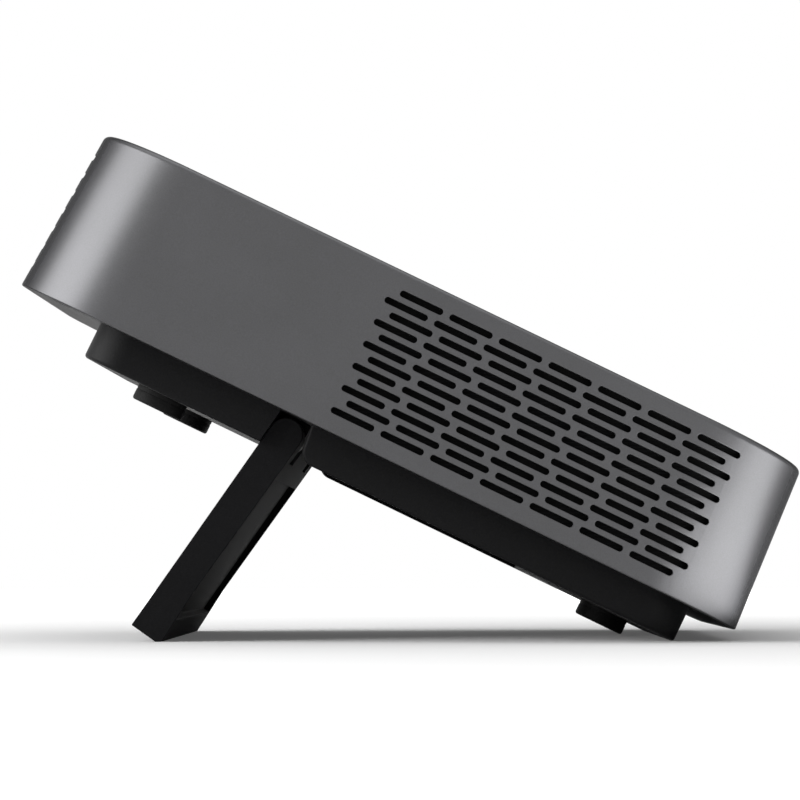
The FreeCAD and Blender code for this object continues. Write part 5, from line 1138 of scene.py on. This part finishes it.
@dataclass
class DiscDrive:
    """What shows of the tray drive: the tray's front, eject key, lamp, well and hub."""

    middle: float = 12
    left: float = -52
    right: float = 76
    low: float = 3.2
    high: float = 15.9
    face: float = 79.7
    back: float = 75.2945
    disc_y: float = 13.3945
    eject_reach: float = 44
    eject_half: Spot = (4.25, 1.35)
    lamp_step: float = -10
    pin_step: float = 8
    hub_level: float = 10.4
    ball_level: float = 12.1
    ball_ring: float = 6.8
    ball_radius: float = 0.8

    @property
    def eject_x(self) -> float:
        """The place of the eject key's middle along the casing."""
        return self.middle + self.eject_reach

    @property
    def level(self) -> float:
        """The level of the eject key, the lamp and the emergency pinhole."""
        return (self.low + self.high) / 2

    def make_front(self) -> bpy.types.Object:
        """Shape the tray's front with a shallow finger groove and soft edges.

        Returns:
            The finished front.
        """
        front = Workpiece.block("tray_front", (self.left, self.back, self.low),
                                (self.right, self.face - self.low * SLOPE, self.high))
        with front.editing("VERT", lambda vertex: vertex.co.y > (self.back + 1) * MM
                           and vertex.co.z > self.level * MM):
            bpy.ops.transform.translate(value=(0, -(self.high - self.low) * SLOPE * MM, 0))
        eject, level = self.eject_x, self.level
        wide, tall = (half + 0.25 for half in self.eject_half)
        key = Workpiece.block("key_cut", (eject - wide, 70, level - tall),
                              (eject + wide, 82, level + tall))
        key.bevel_edges(runs_along(1, 5), 0.8, 4)
        lamp = Workpiece.drum("lamp_cut", (eject + self.lamp_step, 70, level), 0.8, 12, Axis.Y, 24)
        pin = Workpiece.drum("pin_cut", (eject + self.pin_step, 77, level), 0.5, 5, Axis.Y, 16)
        groove = Workpiece.block("groove_cut", (self.left + 3, self.face - 0.55, self.low + 1.1),
                                 (eject - 14, 82, self.low + 1.6))
        front.cut(key.join((lamp, pin, groove)))
        front.soften(0.25, 3, 40)
        return front.finish(BLACK_ABS, "tray", "black_case", "tray_bezel")

    def make_lamp(self) -> bpy.types.Object:
        """Turn the tray's small lamp, flush in its hole.

        Returns:
            The finished lamp.
        """
        outline = ((0, 0), (0.78, 0), (0.78, 3.2), (0.5, 3.4), (0, 3.45))
        place = (self.eject_x + self.lamp_step, self.back + 0.05, self.level)
        lamp = Workpiece.lathe("tray_lamp", outline, place, Axis.Y, 24)
        return lamp.finish(LAMP_PC, "tray", "light_source")

    def make_eject_key(self) -> bpy.types.Object:
        """Shape the eject key with a dished face and round ends.

        Returns:
            The finished key.
        """
        wide, tall = self.eject_half
        key = Workpiece.block("eject_button",
                              (self.eject_x - wide, self.back + 0.9, self.level - tall),
                              (self.eject_x + wide, self.face - 0.7, self.level + tall))
        key.bevel_edges(runs_along(1, 1), 0.6, 4)
        with key.editing("FACE", faces_way((0, 1, 0))):
            bpy.ops.mesh.inset(thickness=0.35 * MM, depth=-0.12 * MM)
        key.soften(0.1, 2, 40)
        return key.finish(KEY_ABS, "eject", "key_plastic", "eject_key")

    def make_well_rings(self) -> bpy.types.Object:
        """Turn the two raised rims in the well that a disc's edge rests inside.

        Returns:
            The finished rings.
        """
        middle = (self.middle, self.disc_y, 0)
        rim = ((57.6, 12.0), (59.4, 12.0), (59.1, 12.45), (57.9, 12.45), (57.6, 12.0))
        outer = Workpiece.lathe("well_rings", rim, middle, steps=128)
        rim = ((40.4, 12.0), (41.6, 12.0), (41.3, 12.35), (40.7, 12.35), (40.4, 12.0))
        inner = Workpiece.lathe("inner_ring", rim, middle, steps=96)
        window = Workpiece.block("window_cut", (self.middle - 16, self.disc_y - 59, 11),
                                 (self.middle + 16, self.disc_y + 14, 13))
        outer.join((inner,)).cut(window)
        return outer.finish(BLACK_ABS, "tray", "black_case")

    def make_hub(self) -> bpy.types.Object:
        """Turn the turntable and hub, with a felt step and three clamping balls.

        Returns:
            The finished hub.
        """
        outline = ((0, -4.6), (1, -4.6), (1, 0), (12.7, 0), (13, 0.2), (13, 0.6), (12.8, 0.8),
                   (9.6, 0.8), (9.4, 0.7), (7.9, 0.7), (7.4, 0.8), (7.4, 2.0), (7.1, 2.5),
                   (6.6, 2.8), (4.2, 2.8), (3.9, 2.5), (2.2, 2.5), (2.0, 2.75), (0, 2.75))
        hub = Workpiece.lathe("turntable_hub", outline,
                              (self.middle, self.disc_y, self.hub_level), steps=96)
        balls = []
        for turn in (math.radians(angle) for angle in (90, 210, 330)):
            place = (self.middle + self.ball_ring * math.cos(turn),
                     self.disc_y + self.ball_ring * math.sin(turn), self.ball_level)
            Workpiece.clear()
            bpy.ops.mesh.primitive_uv_sphere_add(segments=24, ring_count=12,
                                                 radius=self.ball_radius * MM,
                                                 location=metres(place))
            balls.append(Workpiece("ball", bpy.context.object).settle())
        hub.join(balls)
        return hub.finish(CAST_ALLOY, "hub", "cast_alloy", "spindle_hub")


@dataclass
class Optics:
    """The lens end: flared ring, window, glass and the focus wheel."""

    wall_x: float = -108.6576
    barrel_front: float = -94.4
    glass_edge: float = 13.55
    wheel_x: float = -90
    wheel_width: float = 6.5
    wheel_radius: float = 22.4
    ribs: int = 60

    def lean_in(self, piece: Workpiece) -> Workpiece:
        """Lean a piece turned about X with the wall's draft and move it to the wall.

        Args:
            piece: The piece, turned about the lens axis.

        Returns:
            The workpiece.
        """
        piece.obj.rotation_euler = (0, DRAFT, 0)
        piece.obj.location = metres((self.wall_x, 0, LENS_HEIGHT))
        return piece.settle()

    def make_ring(self) -> bpy.types.Object:
        """Turn the flared ring with three fine light-trap steps.

        Returns:
            The finished ring.
        """
        outline = [(17.5, 2.1), (17.5, 0.45), (17.25, 0.2), (16.2, 0.2), (16.0, 0.35)]
        for step in range(3):
            radius, depth = 15.7 - 0.5 * step, 0.9 + 1.2 * step
            outline += [(radius, depth), (radius - 0.25, depth + 0.1), (radius - 0.25, depth + 0.6)]
        outline += [(14, 4.5), (19, 4.5), (19, 2.1), (17.5, 2.1)]
        ring = self.lean_in(Workpiece.lathe("lens_surround", outline, axis=Axis.X, steps=128))
        return ring.finish(BLACK_ANODISED, "projector", "black_case", "lens_bezel")

    def make_window(self) -> bpy.types.Object:
        """Turn the flat clear window with a ground edge.

        Returns:
            The finished window.
        """
        outline = ((0, 4.5), (15.5, 4.5), (15.8, 4.8), (15.8, 5.7), (15.5, 6.0), (0, 6.0))
        pane = self.lean_in(Workpiece.lathe("front_window", outline, axis=Axis.X, steps=96))
        return pane.finish(WINDOW_GLASS, "projector", "lens_glass", "lens_window")

    def make_glass(self, name: str, node: str, along: float, bulge: float,
                   thick: float) -> bpy.types.Object:
        """Turn one lens with a spherical front.

        Args:
            name: The piece's name.
            node: The CAD node that it stands for.
            along: Where its rim lies along the axis.
            bulge: How far the middle stands in front of the rim.
            thick: The rim's thickness.

        Returns:
            The finished lens.
        """
        edge = self.glass_edge
        sphere = (edge ** 2 + bulge ** 2) / (2 * bulge)
        outline = [(0, -bulge)]
        for step in range(1, 11):
            radius = edge * step / 10
            outline.append((radius, sphere - bulge - math.sqrt(sphere ** 2 - radius ** 2)))
        outline += [(edge, thick), (0, thick)]
        glass = Workpiece.lathe(name, outline, (along, 0, LENS_HEIGHT), Axis.X, 96)
        return glass.finish(LENS_GLASS, "lens", "lens_glass", node)

    def make_wheel(self) -> bpy.types.Object:
        """Draw the focus wheel in, rib by rib, on a ring with bevelled rims.

        Returns:
            The finished wheel.
        """
        low, high, top = 0.0, self.wheel_width, self.wheel_radius
        outline = ((16.95, low), (21.6, low), (top - 0.25, 0.5), (top - 0.25, high - 0.5),
                   (21.6, high), (16.95, high), (16.95, low))
        place = (self.wheel_x, 0, LENS_HEIGHT)
        wheel = Workpiece.lathe("focus_wheel_grip", outline, place, Axis.X, 120)
        rib = Workpiece.block("rib", (0.6, -0.5, top - 0.45), (high - 0.6, 0.5, top))
        rib.bevel_edges(lambda edge: edge.calc_length() > 3 * MM
                        and all(vertex.co.z > (top - 0.1) * MM for vertex in edge.verts), 0.25, 2)
        move = Matrix.Translation(metres(place))
        wheel.join([rib.twin(move @ Matrix.Rotation(2 * math.pi * index / self.ribs, 4, "X"))
                    for index in range(self.ribs)])
        bpy.data.objects.remove(rib.obj)
        return wheel.finish(GRIP_RUBBER, "focus_wheel", "ring_plastic", "focus_ring")


class Symbol(Enum):
    """What is printed on a top key."""

    POWER = "power_key"
    PREVIOUS = "previous_key"
    PLAY = "play_key"
    NEXT = "next_key"
    SOURCE = "source_key"


@dataclass
class KeyRow:
    """Row of round top keys with printed symbols."""

    low: float = 44.6
    top: float = 47.9
    radius: float = 4.8
    ink_drop: float = 0.23
    ink_thick: float = 0.06

    def across(self, symbol: Symbol) -> float:
        """Return a key's place across the top."""
        return (list(Symbol).index(symbol) - 2) * KEY_PITCH

    def make_key(self, symbol: Symbol) -> bpy.types.Object:
        """Turn one key with a dished face and a flange below.

        Args:
            symbol: The key to make.

        Returns:
            The finished key.
        """
        rise = self.top - self.low
        outline = [(0, 0), (6, 0), (6, 0.9), (self.radius, 0.9), (self.radius, rise - 0.3),
                   (self.radius - 0.1, rise - 0.1), (self.radius - 0.35, rise),
                   (3.9, rise), (2.6, rise - 0.16), (1.3, rise - 0.24), (0, rise - 0.26)]
        key = Workpiece.lathe(f"{symbol.value}_cap", outline,
                              (KEY_X, self.across(symbol), self.low), steps=72)
        return key.finish(KEY_ABS, symbol.value, "key_plastic", symbol.value)

    def triangle(self, across: float, way: int, size: float = 0.9) -> Workpiece:
        """Shape a flat triangle that points along Y.

        Args:
            across: Its middle's place across the top.
            way: 1 to point to the disc side, -1 to the vented side.
            size: The radius round its corners.

        Returns:
            The triangle.
        """
        Workpiece.clear()
        middle = self.top - self.ink_drop + self.ink_thick / 2
        bpy.ops.mesh.primitive_cylinder_add(vertices=3, radius=size * MM,
                                            depth=self.ink_thick * MM,
                                            location=metres((KEY_X, across, middle)),
                                            rotation=(0, 0, 0 if way > 0 else math.pi))
        return Workpiece("triangle", bpy.context.object).settle()

    def bar(self, across: float, along: float = 0.0, wide: float = 0.35,
            tall: float = 1.5) -> Workpiece:
        """Shape a thin printed bar.

        Args:
            across: Its middle's place across the top.
            along: How far it stands from the keys' middle line.
            wide: Its size in Y.
            tall: Its size in X.

        Returns:
            The bar.
        """
        x, z = KEY_X + along, self.top - self.ink_drop
        return Workpiece.block("bar", (x - tall / 2, across - wide / 2, z),
                               (x + tall / 2, across + wide / 2, z + self.ink_thick))

    def make_symbol(self, symbol: Symbol) -> bpy.types.Object:
        """Build the raised ink of a key's symbol.

        Args:
            symbol: The key that it is printed on.

        Returns:
            The finished symbol.
        """
        y = self.across(symbol)
        if symbol is Symbol.POWER:
            thick = self.ink_thick
            outline = ((0.95, 0), (1.25, 0), (1.25, thick), (0.95, thick), (0.95, 0))
            ink = Workpiece.lathe("ink", outline, (KEY_X, y, self.top - self.ink_drop), steps=48)
            ink.cut(Workpiece.block("gap", (KEY_X - 2, y - 0.35, self.top - 0.9),
                                    (KEY_X, y + 0.35, self.top + 0.5)))
            ink.join([self.bar(y, -0.7, 0.3, 1.1)])
        elif symbol is Symbol.PLAY:
            ink = self.triangle(y - 0.45, 1).join([self.bar(y + 0.75), self.bar(y + 1.3)])
        elif symbol is Symbol.SOURCE:
            ink = self.bar(y, -0.7, 2.2, 0.3)
            ink.join([self.bar(y, 0.7, 2.2, 0.3), self.bar(y - 1.1, 0, 0.3, 1.7),
                      self.bar(y + 1.1, 0, 0.3, 1.7), self.triangle(y, 1, 0.45)])
        else:
            way = 1 if symbol is Symbol.NEXT else -1
            ink = self.triangle(y - 0.75 * way, way, 0.8)
            ink.join([self.triangle(y + 0.35 * way, way, 0.8), self.bar(y + 1.25 * way)])
        ink.obj.name = f"{symbol.value}_symbol"
        return ink.finish(MARK_INK, symbol.value, "key_plastic")


@dataclass(frozen=True)
class ContactRow:
    """Row of gilt strips on the tongue of one socket."""

    count: int
    first: float
    pitch: float
    width: float
    back: float
    front: float


@dataclass
class Ports:
    """Socket panel in the rear wall, and what shows in its sockets."""

    wall_x: float = 110
    top: float = 35.5
    inset: float = 0.4
    tongue: float = 26.95
    strip_height: float = 0.07
    rows: tuple[ContactRow, ...] = (ContactRow(10, 21.9, 1.13, 0.5, 9, 3.2),
                                    ContactRow(4, 7.2, 2.2, 1.0, 10, 3.4))

    def make_panel(self, node: bpy.types.Object) -> bpy.types.Object:
        """Make the socket panel from its node, with softened socket rims.

        Args:
            node: The CAD node of the panel.

        Returns:
            The finished panel.
        """
        panel = Workpiece.copy_of("socket_panel", node)
        panel.soften(0.15, 2, 45)
        return panel.finish(BLACK_ABS, "projector", "black_case", "port_panel", tipped=False)

    def make_contacts(self) -> bpy.types.Object:
        """Lay the gilt contact strips on the tongues of the two digital sockets.

        Returns:
            The finished contacts.
        """
        face = self.wall_x - self.top * SLOPE - self.inset
        made = []
        for row in self.rows:
            strip = Workpiece.block("contact", (face - row.back, row.first, self.tongue),
                                    (face - row.front, row.first + row.width,
                                     self.tongue + self.strip_height))
            made.append(strip.repeated((0, index * row.pitch, 0)
                                       for index in range(1, row.count)))
        contacts = made[0].join(made[1:])
        contacts.obj.name = "socket_contacts"
        return contacts.finish(BRASS, "projector", "brass")


# Which CAD nodes have which material; a node that a piece stands for is dressed too.
NODE_SURFACES: tuple[tuple[Surface, str], ...] = (
    (SHELL_PAINT, "outer_shell"),
    (BLACK_ABS, "bottom_case disc_tray tray_bezel port_panel blower_housing blower_lid "
                "blower_rotor speaker_boxes key_frame"),
    (ZINC_STEEL, "case_screws hinge_washers drive_case tray_rails mechanism_frame spindle_motor "
                 "sled_motor engine_lid focus_retainer chassis_plate hdmi_socket usb_socket"),
    (FOOT_RUBBER, "front_foot_near front_foot_far rear_foot"),
    (BRASS, "tripod_insert board_standoffs"),
    (STAND_ABS, "stand_arm"),
    (GROUND_STEEL, "stand_pin guide_rods lead_screw"),
    (KEY_ABS, "eject_key power_key previous_key play_key next_key source_key"),
    (CAST_ALLOY, "spindle_hub pickup_sled engine_housing"),
    (LENS_GLASS, "pickup_lens front_lens rear_lens prism_block"),
    (BLACK_ANODISED, "lens_bezel lens_barrel"),
    (WINDOW_GLASS, "lens_window"),
    (GRIP_RUBBER, "focus_ring"),
    (PHOSPHOR, "led_modules"),
    (BOARD, "imager_board main_board power_board key_board"),
    (CHIP_EPOXY, "main_chips audio_jack dc_inlet"),
    (SMOKED_PC, "ir_window"),
    (FIN_ALLOY, "heat_sink"),
    (COPPER, "heat_pipe"),
    (CONE_PAPER, "speaker_cones"),
)


def dress_nodes(nodes: dict[str, bpy.types.Object]) -> None:
    """Give every CAD node its material.

    Args:
        nodes: The CAD nodes by name.
    """
    surfaces = {name: surface for surface, names in NODE_SURFACES for name in names.split()}
    for name, node in nodes.items():
        node.data.materials.clear()
        node.data.materials.append(surfaces[name].material())
        log.info("%s: %s", name, surfaces[name].name)


# ---------------------------------------------------------------------------
# Studio
# ---------------------------------------------------------------------------


@dataclass
class Studio:
    """White floor and surround, broad lamps and the camera, in metres and degrees."""

    lens: float = 136.0
    place: Point = (0.009, -0.890, 0.023)
    pitch: float = 2.984
    yaw: float = 0.807
    roll: float = 0.078
    surround: float = 0.35
    floor_size: float = 2.6
    # The painted glow on the floor, seen only by the camera: the distances from the object over
    # which it rises, and its strength at each end.
    painted_glow_span: Spot = (0.15, 0.9)
    painted_glow_levels: Spot = (0.08, 1.0)
    aim: Point = (0, 0, 0.08)

    def build(self) -> None:
        """Set up the whole studio."""
        scene = bpy.context.scene
        scene.view_settings.view_transform = "Standard"
        self.set_world()
        self.add_floor()
        self.add_lamp("left_softbox", (-1.195, -0.438, 0.67), (1.4, 0.8), 21.5)
        self.add_lamp("right_table_panel", (0.3, -0.148, 0.002), (0.4, 0.22), 1.5, (0, 0, 1))
        self.add_lamp("top_softbox", (0.0, 0.1, 1.4), (1.4, 1.4), 9)
        self.add_camera()

    def set_world(self) -> None:
        """Make a white surround that the camera and mirrors see whole, but that lights softly."""
        world = bpy.data.worlds.new("white_surround")
        bpy.context.scene.world = world
        graph = Graph(world)
        path = graph.add("LightPath").outputs
        mirrored = graph.add("Math", {0: path["Is Glossy Ray"], 1: path["Is Transmission Ray"]})
        whole = graph.add("Math", {0: path["Is Camera Ray"], 1: mirrored.outputs["Value"]},
                          use_clamp=True)
        light = graph.add("Background", values={"Color": WHITE, "Strength": self.surround})
        seen = graph.add("Background", values={"Color": WHITE, "Strength": 1.0})
        mix = graph.add("MixShader", {"Fac": whole.outputs["Value"],
                                      1: light.outputs["Background"],
                                      2: seen.outputs["Background"]})
        graph.close(mix.outputs["Shader"])

    def add_floor(self) -> None:
        """Lay the pale floor, with a glow painted on it that only the camera sees and that grows
        with distance from the object: painted light far away, and little near the object, where the
        floor keeps its shade.
        """
        Workpiece.clear()
        bpy.ops.mesh.primitive_plane_add(size=self.floor_size, location=(0, 0, 0))
        floor = bpy.context.object
        floor.name = "studio_floor"
        graph = Graph(bpy.data.materials.new("matt_white_floor"))
        path = graph.add("LightPath")
        place = graph.add("TexCoord").outputs["Object"]
        away = graph.add("VectorMath", {0: place}, operation="LENGTH")
        painted_glow_ramp = graph.add("MapRange", {"Value": away.outputs["Value"]},
                         {"From Min": self.painted_glow_span[0], "From Max": self.painted_glow_span[1],
                          "To Min": self.painted_glow_levels[0], "To Max": self.painted_glow_levels[1]})
        matt = graph.add("BsdfDiffuse", values={"Color": linear("#f4f4f4")})
        # Painted light: a glow that only the camera sees, weak near the object and white far away,
        # where the lamps' light falls off.
        painted_glow = graph.add("Emission", {"Strength": painted_glow_ramp.outputs["Result"]}, {"Color": WHITE})
        seen = graph.add("BsdfDiffuse", values={"Color": linear("#dedede")})
        both = graph.add("AddShader", {0: seen.outputs["BSDF"], 1: painted_glow.outputs["Emission"]})
        mix = graph.add("MixShader", {"Fac": path.outputs["Is Camera Ray"],
                                      1: matt.outputs["BSDF"], 2: both.outputs["Shader"]})
        floor.data.materials.append(graph.close(mix.outputs["Shader"]))

    def add_lamp(self, name: str, place: Point, size: Spot, power: float,
                 way: Point | None = None) -> None:
        """Set up a rectangular lamp.

        Args:
            name: The lamp's name.
            place: Where it stands, in metres.
            size: Its width and height in metres.
            power: Its power in watts.
            way: The way that it shines, or None for the middle of the casing.
        """
        Workpiece.clear()
        bpy.ops.object.light_add(type="AREA", location=place)
        lamp = bpy.context.object
        lamp.name = name
        lamp.data.shape = "RECTANGLE"
        lamp.data.size, lamp.data.size_y = size
        lamp.data.energy = power
        away = Vector(way) if way else Vector(self.aim) - Vector(place)
        lamp.rotation_euler = away.to_track_quat("-Z", "Y").to_euler()
        lamp.visible_camera = False

    def add_camera(self) -> None:
        """Stand the camera low in front of the vented side."""
        camera = bpy.data.objects.new("camera", bpy.data.cameras.new("camera"))
        bpy.context.collection.objects.link(camera)
        camera.data.lens = self.lens
        camera.data.sensor_width = 36
        camera.data.clip_start = 0.05
        camera.location = self.place
        camera.rotation_euler = [math.radians(angle)
                                 for angle in (90 + self.pitch, self.roll, self.yaw)]
        bpy.context.scene.camera = camera


def main() -> None:
    """Load the frame, build each sub-assembly in order and set up the studio."""
    logging.basicConfig(level=logging.INFO, format="%(name)s: %(message)s", stream=sys.stdout)
    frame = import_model()
    nodes = frame["nodes"]
    dress_nodes(nodes)

    casing = Casing()
    casing.make_shell()
    casing.make_status_lamp()
    casing.make_dust_screen()
    casing.make_cloth()

    underside = Underside()
    underside.make_base(nodes["bottom_case"])
    for label in underside.places:
        underside.make_foot(label)

    Stand().make_arm()

    drive = DiscDrive()
    drive.make_front()
    drive.make_lamp()
    drive.make_eject_key()
    drive.make_well_rings()
    drive.make_hub()

    optics = Optics()
    optics.make_ring()
    optics.make_window()
    optics.make_glass("front_element", "front_lens", optics.barrel_front + 4, 2.5, 5.5)
    optics.make_glass("rear_element", "rear_lens", optics.barrel_front + 15, 1.5, 3.6)
    optics.make_wheel()

    keys = KeyRow()
    for symbol in Symbol:
        keys.make_key(symbol)
        keys.make_symbol(symbol)

    ports = Ports()
    ports.make_panel(nodes["port_panel"])
    ports.make_contacts()

    Studio().build()


if __name__ == "__main__":
    main()
